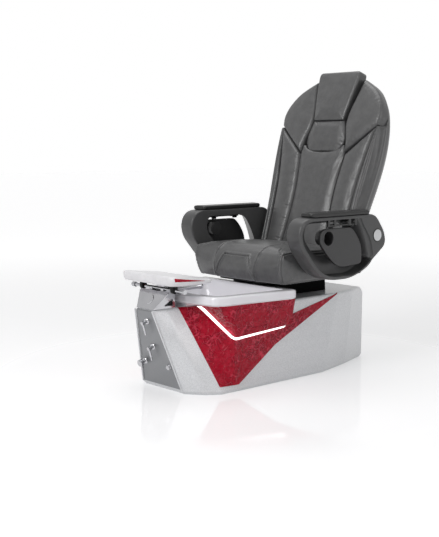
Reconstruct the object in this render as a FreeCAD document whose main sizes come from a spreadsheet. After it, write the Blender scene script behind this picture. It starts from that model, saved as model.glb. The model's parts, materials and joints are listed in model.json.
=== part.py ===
"""Pedicure spa chair: foot-bath base with a sliding, reclining massage seat.

Millimetres.  X is the width (+X is the sitter's left), the sitter faces -Y, Z is up.
The origin is on the floor, under the seat's front edge, on the middle plane.
"""

import FreeCAD, Part
import math
import os
from FreeCAD import Placement, Rotation, Vector

doc = FreeCAD.newDocument("PedicureSpaChair")
sheet = doc.addObject("Spreadsheet::Sheet", "Sizes")

SIZES = {
    # floor base
    "deck_height": 388, "wall": 5, "lip_height": 14, "lip_inset": 8,
    "base_half_width": 271, "deck_half_width": 257, "base_rear": 742,
    "prow_half_width": 146, "prow_front": -518, "neck_half_width": 62, "neck_front": -630,
    "flank_foot": -398, "flank_top": -489, "prow_swell": 18, "elbow_front": -320, "elbow_height": 246,
    "strip_top": -398, "strip_top_half": 104, "side_end": 283, "deck_side_end": 403,
    "tail_half_width": 216, "tail_start": 508, "deck_tail_start": 565, "stern_half_width": 140,
    "stern_round": 110, "deck_edge_round": 10, "floor_plate": 8, "skin": 3, "skin_gap": 0.3,
    # red inlay and light strip, seen from the side
    "vee_point_front": -398, "vee_point_rear": -295, "vee_point_height": 34,
    "vee_tip": 403, "vee_mid": -55, "vee_mid_height": 187,
    "strip_width": 11, "strip_proud": 6, "skirt_behind": 9, "skirt_wall": 4, "skirt_side": 80, "rim_seat": 22,
    "strip_rear": 24, "strip_rise": 268,
    # basin
    "rim_rear": 34, "rim_rear_half": 336, "rim_front": -468,
    "rim_front_half": 262, "rim_mid_half": 300, "rim_width": 50, "rim_round": 8,
    "bowl_floor": 132, "bowl_floor_half": 150, "bowl_floor_front": -330, "bowl_floor_rear": -80,
    "drain_radius": 30, "drain_pipe_radius": 20, "drain_reach": 6, "stub_length": 45,
    "jet_height": 235, "jet_radius": 42, "jet_depth": 16, "jet_shaft_radius": 4,
    # front panel and its valves
    "panel_thick": 2, "panel_side_margin": 6, "panel_foot": 20, "trim_width": 9, "trim_proud": 5,
    "upper_valve_up": 330, "lower_valve_up": 208, "knob_up": 125, "knob_side": 90,
    "escutcheon_radius": 16, "escutcheon_thick": 4, "valve_stem": 7, "valve_neck": 16,
    "lever_length": 58, "lever_width": 11, "lever_thick": 7, "knob_radius": 17, "knob_thick": 20,
    "button_radius": 12, "button_travel": 3,
    # console, footrest and spout
    "console_half_width": 106, "console_lean": 57, "console_rear": -497,
    "console_sheet": 3, "emblem_radius": 24,
    "rod_front": -546, "rod_half_length": 168, "rod_radius": 8,
    "grip_radius": 12, "grip_length": 22, "pivot_gap": 0.3,
    "pad_half_width": 193, "pad_front": -618, "pad_rear": -380,
    "pad_front_thick": 45, "pad_rear_thick": 18, "pad_corner": 34, "bracket_half_width": 120,
    "bracket_thick": 4, "spout_radius": 13, "spout_bore": 9, "spout_end": -285,
    # pedestal and seat slide
    "pedestal_half_width": 142, "pedestal_front": 40, "pedestal_rear": 445,
    "rail_gauge": 100, "rail_width": 34, "rail_height": 7, "runner_height": 6, "slide_travel": 100,
    "slide_gap": 0.3, "pan_half_width": 172, "pan_front": -20, "pan_rear": 500, "pan_thick": 10,
    # seat
    "seat_half_width": 306, "seat_front": -90, "seat_rear": 420, "seat_back_gap": 17,
    "seam_foot_half": 142, "seam_head_half": 85, "channel_width": 5, "channel_depth": 5, "channel_reach": 150,
    "arm_plate_inside": 322, "arm_plate_thick": 8,
    # back
    "back_lean": 17.6, "back_foot": 398, "back_length": 925,
    "back_low_half": 316, "back_wide_half": 350, "back_pad_thick": 62, "back_shell_thick": 96,
    "hinge_rear": 470, "hinge_radius": 9, "centre_half": 142,
    # arms
    "arm_inside": 336, "arm_outside": 426, "arm_front": -56, "arm_rear": 562,
    "arm_rim": 15, "arm_web": 16, "arm_pivot_rear": 494,
    "arm_pad_thick": 16, "arm_pad_front": -28, "arm_pad_rear": 438, "cap_radius": 19, "cap_proud": 2,
    "pivot_radius": 14, "tray_thick": 16, "tray_hinge_drop": 42, "tray_pin_radius": 4,
    "cup_radius": 34, "cup_lip": 8, "cup_depth": 60, "cup_wall": 3,
}

# heights above the deck, so that everything on the base follows it
DECK_LEVELS = {
    "rim_under": 17, "rim_top": 60, "console_top": 80, "spout_height": 74, "pad_under": 116,
    "pedestal_top": 62, "hinge_height": 117, "seat_front_height": 244, "seat_rear_height": 224,
    "back_foot_height": 219, "arm_bottom": 102, "arm_pivot_height": 296, "arm_top": 402,
}

for row, (alias, number) in enumerate((SIZES | DECK_LEVELS).items(), start=1):
    sheet.set(f"A{row}", alias.replace("_", " "))
    sheet.set(f"B{row}", str(number))
    sheet.setAlias(f"B{row}", alias)
doc.recompute()

SIDES = {"left": 1, "right": -1}
GAP = float(sheet.get("skin_gap"))
NODES = []


def size(alias):
    """Value of one named cell of the sheet."""
    return float(sheet.get(alias))


def level(alias):
    """Height over the floor of a level that the sheet gives above the deck."""
    return size("deck_height") + float(sheet.get(alias))


def between(low, high, share):
    """Value that lies the given share of the way from low to high."""
    return low + (high - low) * share


# ---------------------------------------------------------------- outlines and solids

def outline(points, radii):
    """Closed run of lines and arcs through the points; a radius of 0 keeps its corner sharp."""
    corners = []
    for index, (point, radius) in enumerate(zip(points, radii)):
        before = (points[index - 1] - point).normalize()
        after = (points[(index + 1) % len(points)] - point).normalize()
        if radius == 0:
            corners.append((point, None, point))
            continue
        half_angle = before.getAngle(after) / 2
        reach = radius / math.tan(half_angle)
        inward = (before + after).normalize()
        middle = point + inward * (radius / math.sin(half_angle) - radius)
        corners.append((point + before * reach, middle, point + after * reach))
    curves = []
    for index, (start, middle, end) in enumerate(corners):
        if middle is not None:
            curves.append(Part.Arc(start, middle, end))
        following = corners[(index + 1) % len(corners)][0]
        if (following - end).Length > 1e-6:
            curves.append(Part.LineSegment(end, following))
    return curves


def wire(points, radii):
    """Wire of an outline."""
    return Part.Wire([curve.toShape() for curve in outline(points, radii)])


def mirrored(half):
    """Closed outline from its +X half, listed from front to rear."""
    return half + [Vector(-point.x, point.y, point.z) for point in reversed(half)]


def moved_out(points, distance):
    """Counter-clockwise level outline moved outward, its corners mitred."""
    moved = []
    for index, point in enumerate(points):
        before = (point - points[index - 1]).normalize()
        after = (points[(index + 1) % len(points)] - point).normalize()
        normal = Vector(before.y, -before.x, 0)
        mitre = Vector(before.y + after.y, -before.x - after.x, 0).normalize()
        moved.append(point + mitre * (distance / mitre.dot(normal)))
    return moved


def side_prism(corners, radii, low, high):
    """Prism across the width from an outline in the side view, given as (y, z) corners."""
    points = [Vector(low, y, z) for y, z in corners]
    return Part.Face(wire(points, radii)).extrude(Vector(high - low, 0, 0))


def front_prism(corners, radii, low, high):
    """Prism along Y from an outline in the front view, given as (x, z) corners."""
    points = [Vector(x, low, z) for x, z in corners]
    return Part.Face(wire(points, radii)).extrude(Vector(0, high - low, 0))


def block(low, high):
    """Box between two corners."""
    return Part.makeBox(high[0] - low[0], high[1] - low[1], high[2] - low[2], Vector(*low))


def rod(radius, start, end):
    """Round bar from one point to another."""
    start, end = Vector(*start), Vector(*end)
    return Part.makeCylinder(radius, (end - start).Length, start, end - start)


def largest(shape):
    """The largest solid of a shape."""
    return max(shape.Solids, key=lambda solid: solid.Volume)


def feature(label, shape):
    """Sub-part whose form comes from the sheet through Part's own functions."""
    item = doc.addObject("Part::Feature", label)
    item.Shape = shape
    item.Label = label
    NODES.append(item)
    return item


def plane_of(body, role):
    """One of a body's own origin planes."""
    return next(item for item in body.Origin.OriginFeatures if item.Role == role)


def sketch_on(body, name, role, curves, offset):
    """Sketch on a body's own plane, moved along the plane's normal."""
    sketch = body.newObject("Sketcher::SketchObject", name)
    sketch.AttachmentSupport = [(plane_of(body, role), "")]
    sketch.MapMode = "FlatFace"
    sketch.AttachmentOffset = Placement(Vector(0, 0, offset), Rotation())
    sketch.addGeometry(curves, False)
    return sketch


def padded(label, role, corners, radii, offset, length):
    """PartDesign body padded from an outline; the length is an expression on the sheet."""
    body = doc.addObject("PartDesign::Body", label)
    body.Label = label
    curves = outline([Vector(x, y, 0) for x, y in corners], radii)
    sketch = sketch_on(body, label + "_outline", role, curves, offset)
    pad = body.newObject("PartDesign::Pad", label + "_pad")
    pad.Profile = sketch
    pad.setExpression("Length", length)
    doc.recompute()
    NODES.append(body)
    return body


def pocketed(body, name, role, curves, offset, length, reverse=False):
    """Pocket from a plane of the body; its length is an expression on the sheet."""
    before = body.Shape.Volume
    sketch = sketch_on(body, name + "_outline", role, curves, offset)
    pocket = body.newObject("PartDesign::Pocket", name)
    pocket.Profile = sketch
    pocket.setExpression("Length", length)
    pocket.Reversed = reverse
    doc.recompute()
    if body.Shape.Volume >= before:
        raise ValueError(name + " cut nothing")
    return pocket


def turned(label, profile, place):
    """PartDesign body turned about its own Z axis from (radius, height) corners."""
    body = doc.addObject("PartDesign::Body", label)
    body.Label = label
    curves = outline([Vector(x, y, 0) for x, y in profile], [0] * len(profile))
    sketch = sketch_on(body, label + "_profile", "XZ_Plane", curves, 0)
    revolution = body.newObject("PartDesign::Revolution", label + "_turn")
    revolution.Profile = sketch
    revolution.ReferenceAxis = (sketch, ["V_Axis"])
    revolution.Angle = 360
    body.Placement = place
    doc.recompute()
    NODES.append(body)
    return body


# ---------------------------------------------------------------- base shell

def hull_half(height):
    """The +X half of the base's level outline at one height, from front to rear."""
    rise = height / size("deck_height")
    upper = max(0.0, (height - size("elbow_height")) / (size("deck_height") - size("elbow_height")))
    side = between(size("base_half_width"), size("deck_half_width"), rise)
    prow = Vector(between(size("prow_half_width"), size("neck_half_width"), rise),
                  between(size("prow_front"), size("neck_front"), rise), height)
    flank = Vector(between(size("base_half_width"), size("neck_half_width") + 9, rise),
                   between(size("flank_foot"), size("flank_top"), rise), height)
    along = flank - prow
    swell = Vector(along.y, -along.x, 0).normalize() * between(size("prow_swell"), 3, rise)
    return [
        prow,
        (prow + flank) * 0.5 + swell,
        flank,
        Vector(between(side, size("strip_top_half"), upper),
               between(size("elbow_front"), size("strip_top"), upper), height),
        Vector(side, between(-150, -250, rise), height),
        Vector(side, between(size("side_end"), size("deck_side_end"), rise), height),
        Vector(size("tail_half_width"), between(size("tail_start"), size("deck_tail_start"), rise), height),
        Vector(size("stern_half_width"), size("base_rear"), height),
    ]


HULL_RADII = [4, 120, 26, 0, 0, 60, 60, 40]


def hull_section(height, stand, outset):
    """Level wire of the hull at a height, moved outward and stood at its own level."""
    points = moved_out(mirrored(hull_half(height)), outset)
    for point in points:
        point.z = stand
    return wire(points, HULL_RADII + HULL_RADII[::-1])


def hull(outset, foot=0.0):
    """Solid of the base moved outward by a distance; a wall's inside has a negative one."""
    deck, lip, round_off = size("deck_height"), size("lip_height"), size("deck_edge_round")
    top = deck + min(outset, 0)
    sections = [
        hull_section(0, foot, outset - size("lip_inset")),
        hull_section(lip, lip, outset),
        hull_section(size("elbow_height"), size("elbow_height"), outset),
        hull_section(deck - round_off, top - round_off, outset),
        hull_section(deck - round_off / 3, top - round_off / 3, outset - round_off / 3),
        hull_section(deck, top, outset - round_off),
    ]
    body = Part.makeLoft(sections, True, True)
    stern = size("base_rear") + outset
    ahead = size("neck_front") * 2
    profile = [(ahead, foot - 1), (stern, foot - 1), (stern, top + 1), (ahead, top + 1)]
    return body.common(side_prism(profile, [0, 0, size("stern_round"), 0], -500, 500))


def strip_path():
    """Side-view path of the light strip: down the flank, along under the bowl and up."""
    return [(size("strip_top"), size("deck_height") + 8), (size("elbow_front"), size("elbow_height")),
            (size("strip_rear") - 4, size("strip_rise")), (size("strip_rear"), size("strip_rise") + 42)]


def path_moved(path, distance):
    """Open side-view path moved sideways, towards the rear and top for a positive distance."""
    points = [Vector(y, z, 0) for y, z in path]
    moved = []
    for index, point in enumerate(points):
        before = (point - points[max(index - 1, 0)])
        after = (points[min(index + 1, len(points) - 1)] - point)
        before = after if before.Length == 0 else before
        after = before if after.Length == 0 else after
        before, after = before.normalize(), after.normalize()
        normal = Vector(-before.y, before.x, 0)
        mitre = Vector(-before.y - after.y, before.x + after.x, 0).normalize()
        shifted = point + mitre * (distance / mitre.dot(normal))
        moved.append((shifted.x, shifted.y))
    return moved


def strip_band(width, low, high):
    """Prism that holds the light strip's path to a width."""
    lower = path_moved(strip_path(), -width / 2)
    upper = path_moved(strip_path(), width / 2)
    radii = [0, 30, 36, 0]
    inner_radii = [0, 22, 26, 0]
    return side_prism(lower + upper[::-1], radii + inner_radii[::-1], low, high)


def base_shell(bowl_well):
    """Moulded hollow shell with an open foot and a well for the bowl."""
    inside = hull(-size("wall"), foot=-2.0)
    feature("base_shell", hull(0).cut(inside).cut(bowl_well))


def floor_plate():
    """Flat plate that closes the shell's foot and stands on the floor."""
    inset = size("lip_inset") + size("wall") + GAP
    points = moved_out(mirrored(hull_half(0)), -inset)
    face = Part.Face(wire(points, HULL_RADII + HULL_RADII[::-1]))
    plate = face.extrude(Vector(0, 0, size("floor_plate")))
    hole = Part.makeCylinder(size("drain_pipe_radius") * 2, 40, Vector(0, drain_place().y, -10))
    feature("floor_plate", plate.cut(hole))


def vee_outline():
    """Side-view outline of the red inlay, its upper edge along the light strip's path."""
    return [(size("flank_top"), size("deck_height")), (size("vee_point_front"), size("vee_point_height")),
            (size("vee_point_rear"), size("vee_point_height")), (size("vee_mid"), size("vee_mid_height")),
            (size("vee_tip"), size("deck_height"))] + strip_path()[::-1]


def skins(bowl_well):
    """Red inlay skins and light strips that lie on the hull's flanks."""
    proud = hull(GAP + size("skin")).cut(hull(GAP)).cut(bowl_well)
    glow = hull(GAP + size("strip_proud")).cut(hull(GAP)).cut(bowl_well)
    for name, side in SIDES.items():
        low, high = sorted((side * 40, side * 400))
        region = side_prism(vee_outline(), [0] * 9, low, high)
        band = strip_band(size("strip_width") + 2 * GAP, low, high)
        feature("vee_panel_" + name, largest(proud.common(region).cut(band)))
        strip = glow.common(strip_band(size("strip_width"), low, high))
        feature("light_strip_" + name, largest(strip.cut(above_deck(low, high))))


def above_deck(low, high):
    """Everything above the deck, to end the strips at it."""
    foot = size("deck_height") - 1
    return block((low, -700, foot), (high, 800, foot + 200))


# ---------------------------------------------------------------- basin

def rim_half(height):
    """The +X half of the bowl rim's outline, from front to rear."""
    front, middle = size("rim_front"), size("rim_mid_half")
    return [
        Vector(100, front, height),
        Vector(size("rim_front_half"), front + 34, height),
        Vector(middle - 14, front + 102, height),
        Vector(middle, front + 221, height),
        Vector(size("rim_rear_half"), size("rim_rear"), height),
    ]


RIM_RADII = [40, 46, 60, 200, 30]


def rim_section(inset, height):
    """Level wire inside the rim's outline."""
    points = moved_out(mirrored(rim_half(height)), -inset)
    radii = [max(radius - inset, 12) for radius in RIM_RADII]
    return wire(points, radii + radii[::-1])


WELL_RADII = [16, 20, 20, 40, 28]


def well_half(height):
    """The +X half of the foot well's outline, from front to rear."""
    half, front, rear = size("bowl_floor_half"), size("bowl_floor_front"), size("bowl_floor_rear")
    return [Vector(half * 0.5, front, height), Vector(half * 0.85, front + 12, height),
            Vector(half, front + 50, height), Vector(half + 4, front + 120, height),
             Vector(half, rear, height)]


def well_section(outset, height):
    """Level wire of the foot well's floor."""
    return wire(moved_out(mirrored(well_half(height)), outset), WELL_RADII + WELL_RADII[::-1])


def skirt_front(height):
    """How far forward the skirts' front faces reach at a height."""
    low, high, behind = size("elbow_height"), level("rim_under"), size("skirt_behind")
    share = (height - low) / (high - low)
    return between(size("elbow_front") + behind, size("strip_top") + behind / 3, share)


def kept_behind(points, front):
    """Outline points, each brought back to a front limit that eases off towards the sides."""
    return [Vector(point.x, max(point.y, front + abs(point.x) * 0.02), point.z) for point in points]


def throat_section(outset, height):
    """Level wire of the bowl between its well and its rim, kept behind the skirts' front faces."""
    low, high = size("bowl_floor") + 24, level("rim_top") - 24
    share = (height - low) / (high - low)
    rim_points = moved_out(mirrored(rim_half(height)), -size("rim_width") - 3)
    points = [foot + (head - foot) * share for foot, head in zip(mirrored(well_half(height)), rim_points)]
    points = kept_behind(points, skirt_front(height) + size("skirt_wall") + size("wall") + 4)
    return wire(moved_out(points, outset), WELL_RADII + WELL_RADII[::-1])


def bowl(outset, floor):
    """Inside of the bowl, moved outward for its wall."""
    top, deck = level("rim_top"), size("deck_height")
    width = size("rim_width") - outset
    sections = [well_section(outset - 24, floor), well_section(outset, floor + 24),
                throat_section(outset, deck - 48), throat_section(outset, deck + 6),
                rim_section(width + 3, top - 24), rim_section(width - 3, top + 1)]
    return Part.makeLoft(sections, True, True)


def rim_seat(height):
    """Level wire of the ring that the rim stands on, inside the skirts."""
    points = moved_out(mirrored(rim_half(height)), -size("rim_seat"))
    points = kept_behind(points, skirt_front(height) + size("skirt_wall") + 3 * GAP)
    radii = [max(radius - size("rim_seat"), 12) for radius in RIM_RADII]
    return wire(points, radii + radii[::-1])


def basin():
    """Bowl and its thick rolled rim, moulded as one piece."""
    top, under, soft = level("rim_top"), level("rim_under"), size("rim_round")
    rim = Part.makeLoft([rim_section(soft, under), rim_section(0, under + soft), rim_section(0, top - soft),
                         rim_section(soft * 0.35, top - soft * 0.3),
                          rim_section(soft * 1.4, top)], True, True)
    foot = size("deck_height") + GAP
    seat = Part.makeLoft([rim_seat(foot), rim_seat(under + 1)], True, True)
    half, front = size("skirt_side") - GAP, size("rim_front") + size("rim_seat")
    seat = seat.fuse(block((-half, front, foot), (half, skirt_front(foot) + 20, under + 1)))
    walls = bowl(size("wall"), size("bowl_floor") - size("wall"))
    walls = walls.common(block((-500, -600, 0), (500, 200, top - 4)))
    body = rim.fuse([seat, walls]).cut(bowl(0, size("bowl_floor")))
    drain = drain_place()
    body = body.cut(Part.makeCylinder(size("drain_pipe_radius") + GAP, 40, drain - Vector(0, 0, 20)))
    jet = jet_place()
    hole = Part.makeCylinder(size("jet_shaft_radius") + 2, 80, Vector(0, 0, -40))
    hole.Placement = jet
    feature("basin", body.cut(hole).removeSplitter())


def drain_place():
    """Middle of the drain in the bowl's floor."""
    middle = between(size("bowl_floor_front"), size("bowl_floor_rear"), 0.62)
    return Vector(0, middle, size("bowl_floor"))


def drain():
    """Strainer in the floor of the bowl and the waste pipe under it."""
    place = Placement(drain_place() + Vector(0, 0, GAP), Rotation())
    radius, pipe = size("drain_radius"), size("drain_pipe_radius")
    turned("drain_strainer", [(3, 0), (radius, 0), (radius - 2, 3), (3, 4.5)], place)
    depth = size("bowl_floor") - size("wall") - GAP - size("drain_reach")
    turned("waste_pipe", [(pipe - 3, 0), (pipe, 0), (pipe, size("stub_length")),
                          (pipe + 4, size("stub_length")), (pipe + 4, depth - 5), (pipe + 14, depth - 5),
                          (pipe + 14, depth), (pipe - 3, depth)],
           Placement(Vector(0, drain_place().y, size("drain_reach")), Rotation()))


def jet_place():
    """Frame of the whirlpool jet on the bowl's rear wall, Z pointing into the bowl."""
    top, floor = level("rim_top") - 24, size("bowl_floor") + 24
    share = (size("jet_height") - floor) / (top - floor)
    low, high = size("bowl_floor_rear"), size("rim_rear") - size("rim_width") - 3
    lean = math.degrees(math.atan2(high - low, top - floor))
    point = Vector(0, between(low, high, share), size("jet_height"))
    return Placement(point, Rotation(Vector(1, 0, 0), 90 - lean))


def jet():
    """Pipeless whirlpool jet: cover, impeller on its shaft, and the motor behind the wall."""
    place = jet_place()
    radius, depth, shaft = size("jet_radius"), size("jet_depth"), size("jet_shaft_radius")
    turned("jet_cover", [(radius - 3, GAP), (radius, GAP), (radius, depth - 4), (radius - 5, depth),
                         (14, depth),
                         (14, depth - 2.5), (radius - 6, depth - 2.5), (radius - 3, depth - 5)], place)
    hub = Part.makeCylinder(8, depth - 8, Vector(0, 0, 3)).fuse(
        Part.makeCylinder(shaft, 3 + size("wall") + 12, Vector(0, 0, -size("wall") - 12)))
    blade = block((6, -1.2, 4), (radius - 9, 1.2, depth - 6))
    blades = []
    for index in range(6):
        turned_blade = blade.copy()
        turned_blade.rotate(Vector(), Vector(0, 0, 1), index * 60)
        blades.append(turned_blade)
    impeller = hub.fuse(blades).removeSplitter()
    impeller.Placement = place
    feature("jet_impeller", impeller)
    back = -size("wall") - GAP - 1
    motor = Part.makeCylinder(34, 46, Vector(0, 0, back - 46)).cut(
        Part.makeCylinder(shaft + GAP, 14, Vector(0, 0, back - 13.5)))
    motor.Placement = place
    feature("jet_motor", motor)


def bowl_skirts(bowl_well):
    """Bulged red skirts between the light strips and the rim."""
    low, high = size("elbow_height"), level("rim_under") - GAP

    def skirt(inset):
        half, rear, front = size("base_half_width"), size("rim_rear") - 8, skirt_front(low)
        foot = mirrored([Vector(half * 0.35, front, low), Vector(half * 0.8, front + 1, low),
                         Vector(half, front + 6, low), Vector(half, front + 120, low),
                          Vector(half, rear, low)])
        head = kept_behind(moved_out(mirrored(rim_half(high)), -8), skirt_front(high))
        halfway = [a + (b - a) * 0.5 for a, b in zip(foot, head)]
        middle = [Vector(point.x, max(point.y, between_ends.y), point.z)
                  for point, between_ends in zip(moved_out(halfway, 5), halfway)]
        radii = [0, 10, 16, 0, 10]
        wires = [wire(moved_out(points, -inset), radii + radii[::-1]) for points in (foot, middle, head)]
        return Part.makeLoft(wires, True, True)

    width = size("strip_width") + 2 * GAP
    inlay = hull(2 * GAP + size("skin")).common(side_prism(vee_outline(), [0] * 9, -400, 400))
    strip = hull(2 * GAP + size("strip_proud")).common(strip_band(width, -400, 400))
    shell = skirt(0).cut(skirt(size("skirt_wall"))).cut([hull(GAP), bowl_well, inlay, strip])
    path = path_moved(strip_path(), width / 2)
    rear = size("rim_rear") + 10
    region = path + [(rear, path[3][1] + 6), (rear, high + 1), (size("rim_front") - 40, high + 1)]
    for name, side in SIDES.items():
        low_x, high_x = sorted((side * size("skirt_side"), side * 400))
        feature("bowl_skirt_" + name, largest(shell.common(side_prism(region, [0] * 7, low_x, high_x))))


# ---------------------------------------------------------------- front panel and valves

def front_half(height):
    """Half-width of the base's narrow front face at a height."""
    return between(size("prow_half_width"), size("neck_half_width"), height / size("deck_height"))


def on_front(up, side=0.0, out=0.0):
    """Frame on the front face: Z outward, Y up along the face; up is the height of the point."""
    run, rise = size("neck_front") - size("prow_front"), size("deck_height")
    lean = math.degrees(math.atan2(-run, rise))
    rotation = Rotation(Vector(1, 0, 0), 90 + lean)
    normal = rotation.multVec(Vector(0, 0, 1))
    point = Vector(side, between(size("prow_front"), size("neck_front"), up / rise), up)
    return Placement(point + normal * out, rotation)


def front_panel():
    """Metal panel on the narrow front face, and the two beaded bars along its edges."""
    foot, top, margin = size("panel_foot"), size("deck_height") - 3, size("panel_side_margin")
    sheet_metal = hull(GAP + size("panel_thick")).cut(hull(GAP))
    low, high = front_half(foot) - margin, front_half(top) - margin
    region = front_prism([(-low, foot), (low, foot), (high, top), (-high, top)], [0] * 4,
                         size("neck_front") - 30, size("prow_front") + 60)
    feature("front_panel", largest(sheet_metal.common(region)))
    bars = []
    radius = size("trim_width") / 2
    for side in SIDES.values():
        ends = [on_front(up, side * (front_half(up) - 0.5), radius + GAP).Base for up in (foot, top)]
        bars.append(rod(radius, ends[0], ends[1]))
    feature("panel_trims", Part.makeCompound(bars))


def valve_places():
    """Places of the four controls on the front face."""
    out = GAP * 2 + size("panel_thick")
    return {
        "upper": on_front(size("upper_valve_up"), 0, out), "lower": on_front(size("lower_valve_up"), 0, out),
        "drain": on_front(size("knob_up"), -size("knob_side"), out),
        "button": on_front(size("knob_up"), size("knob_side"), out),
    }


def valves():
    """Escutcheons with their stems, the two levers, the drain knob and the air button."""
    places = valve_places()
    wide, thick = size("escutcheon_radius"), size("escutcheon_thick")
    neck, stem = size("valve_neck"), size("valve_stem")
    bases = []
    for name, place in places.items():
        base = Part.makeCone(wide, wide - 3, thick * 2 if name == "button" else thick)
        if name == "button":
            base = base.cut(Part.makeCylinder(size("button_radius") + GAP, thick * 2, Vector(0, 0, 1)))
        else:
            base = base.fuse([Part.makeCylinder(stem, neck), Part.makeCylinder(stem / 2, neck + 6)])
        base.Placement = place
        bases.append(base)
    feature("valve_bodies", Part.makeCompound(bases))
    for name in ("upper", "lower"):
        hub = Part.makeCylinder(stem + 2.5, size("lever_thick") + 6, Vector(0, 0, neck + GAP))
        width, reach = size("lever_width"), size("lever_length")
        arm = Part.makeCone(width / 2, width * 0.36, reach, Vector(0, 0, neck + 7), Vector(0, -1, 0))
        lever = hub.fuse(arm).cut(Part.makeCylinder(stem / 2 + GAP, neck + 6 + GAP))
        lever.Placement = places[name]
        feature(name + "_valve_lever", lever.removeSplitter())
    radius, thickness = size("knob_radius"), size("knob_thick")
    low = neck + GAP
    turned("drain_knob", [(stem / 2 + GAP, low), (radius - 4, low), (radius, low + 5),
                          (radius, low + thickness - 3),
                          (radius - 3, low + thickness), (0, low + thickness), (0, neck + 6 + GAP),
                          (stem / 2 + GAP, neck + 6 + GAP)], places["drain"])
    radius = size("button_radius")
    foot = 1 + GAP + size("button_travel")
    face = thick * 2 + size("button_travel")
    turned("air_button", [(0, foot), (radius, foot), (radius, face), (radius - 2, face + 2), (0, face + 2)],
           places["button"])


# ---------------------------------------------------------------- console, footrest and spout

def console():
    """Bent sheet bracket on the neck: leaning front plate, two cheeks, top and rear wall."""
    foot, top, metal = size("deck_height") + GAP, level("console_top"), size("console_sheet")
    front = size("neck_front") + 4
    lean = math.atan2(size("console_lean"), top - foot)
    plate_rise = (top - foot) / math.cos(lean)
    low, high = size("neck_half_width") - 2, size("console_half_width")
    outline_points = [(-low, 0), (low, 0), (high, plate_rise), (-high, plate_rise)]
    plate = front_prism(outline_points, [0, 0, 8, 8], 0, metal)
    plate.rotate(Vector(), Vector(1, 0, 0), -math.degrees(lean))
    plate.translate(Vector(0, front, foot))
    plate = plate.common(block((-300, front - 5, foot), (300, front + 100, top)))
    rear, inner = size("console_rear"), low - metal
    lean_top = front + size("console_lean")
    cheek_side = [(front + 2, foot), (rear, foot), (rear, top), (lean_top + 2, top)]
    window = [(front + 58, foot + 10), (rear - 14, foot + 10), (rear - 14, foot + 42)]
    middle = low - metal / 2
    cheeks = [side_prism(cheek_side, [0] * 4, side * middle - metal / 2, side * middle + metal / 2)
              for side in SIDES.values()]
    windows = side_prism(window, [3] * 3, -low - 5, low + 5)
    roof = block((-low, lean_top, top - metal), (low, rear, top))
    wall = block((-low, rear - metal, foot), (low, rear, top))
    tab_top = level("spout_height") + 20
    tab = front_prism([(-24, top - 10), (24, top - 10), (24, tab_top), (-24, tab_top)], [0, 0, 12, 12],
                      rear - metal, rear)
    body = plate.fuse([cheek.cut(windows) for cheek in cheeks] + [roof, wall, tab]).removeSplitter()
    feature("console", body)
    emblem_place = Placement(Vector(0, front, foot), Rotation(Vector(1, 0, 0), 90 - math.degrees(lean)))
    middle = emblem_place.multVec(Vector(0, plate_rise * 0.52, GAP))
    emblem = size("emblem_radius")
    turned("console_badge", [(0, 0), (emblem, 0), (emblem - 1.5, 2.2), (0, 2.2)],
           Placement(middle, emblem_place.Rotation))


def rod_axis():
    """Point on the footrest rod's axis, on the middle plane."""
    return Vector(0, size("rod_front"), level("console_top") + size("rod_radius") + GAP)


def footrest():
    """Cross rod, its two grips, the tilting bracket and the wedge-shaped pad."""
    axis, radius, reach = rod_axis(), size("rod_radius"), size("rod_half_length")
    thread = radius * 0.6
    bar = rod(radius, (-reach, axis.y, axis.z), (reach, axis.y, axis.z))
    bar = bar.fuse(rod(thread, (-reach - 14, axis.y, axis.z), (reach + 14, axis.y, axis.z)))
    shelf = level("console_top") + GAP / 2
    saddles = [block((side * 40 - 9, axis.y - 12, shelf), (side * 40 + 9, axis.y + 12, axis.z))
               for side in SIDES.values()]
    feature("footrest_rod", bar.fuse(saddles).removeSplitter())
    for name, side in SIDES.items():
        start = reach + GAP
        stop, thread_stop = start + size("grip_length"), reach + 14 + GAP
        grip = rod(size("grip_radius"), (side * start, axis.y, axis.z), (side * stop, axis.y, axis.z))
        grip = grip.cut(rod(thread + GAP, (side * (start - 1), axis.y, axis.z),
                            (side * thread_stop, axis.y, axis.z)))
        for index in range(8):
            turn = math.radians(index * 45 + 22.5)
            flute = Vector(0, math.cos(turn), math.sin(turn)) * (size("grip_radius") + 1.2)
            grip = grip.cut(rod(3, (side * (start + 4), axis.y + flute.y, axis.z + flute.z),
                                (side * (start + 60), axis.y + flute.y, axis.z + flute.z)))
        feature("footrest_grip_" + name, grip.removeSplitter())
    under, thick = level("pad_under"), size("bracket_thick")
    half = size("bracket_half_width")
    plate = block((-half, size("pad_front") + 30, under - GAP - thick),
                  (half, size("pad_rear") - 30, under - GAP))
    parts = []
    for side in SIDES.values():
        outer = rod(radius + 7, (side * (half - 18), axis.y, axis.z), (side * half, axis.y, axis.z))
        x_low, x_high = sorted((side * (half - 18), side * half))
        web = block((x_low, axis.y - radius - 7, axis.z), (x_high, axis.y + radius + 7, under - GAP - thick))
        parts.append(outer.fuse(web))
    bracket = plate.fuse(parts)
    bracket = bracket.cut(rod(radius + size("pivot_gap"), (-half - 5, axis.y, axis.z),
                              (half + 5, axis.y, axis.z)))
    feature("footrest_bracket", bracket.removeSplitter())
    front, rear, plan_half = size("pad_front"), size("pad_rear"), size("pad_half_width")
    front_top, rear_top = under + size("pad_front_thick"), under + size("pad_rear_thick")
    profile = [(front, under), (rear, under), (rear, rear_top), (front, front_top)]
    pad = side_prism(profile, [14, 6, 6, 16], -plan_half, plan_half)
    plan = [Vector(plan_half, front, 0), Vector(plan_half, rear, 0),
            Vector(-plan_half, rear, 0), Vector(-plan_half, front, 0)]
    corner = size("pad_corner")
    column = Part.Face(wire(plan, [corner, 16, 16, corner])).extrude(Vector(0, 0, 900))
    feature("footrest_pad", pad.common(column))


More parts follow.
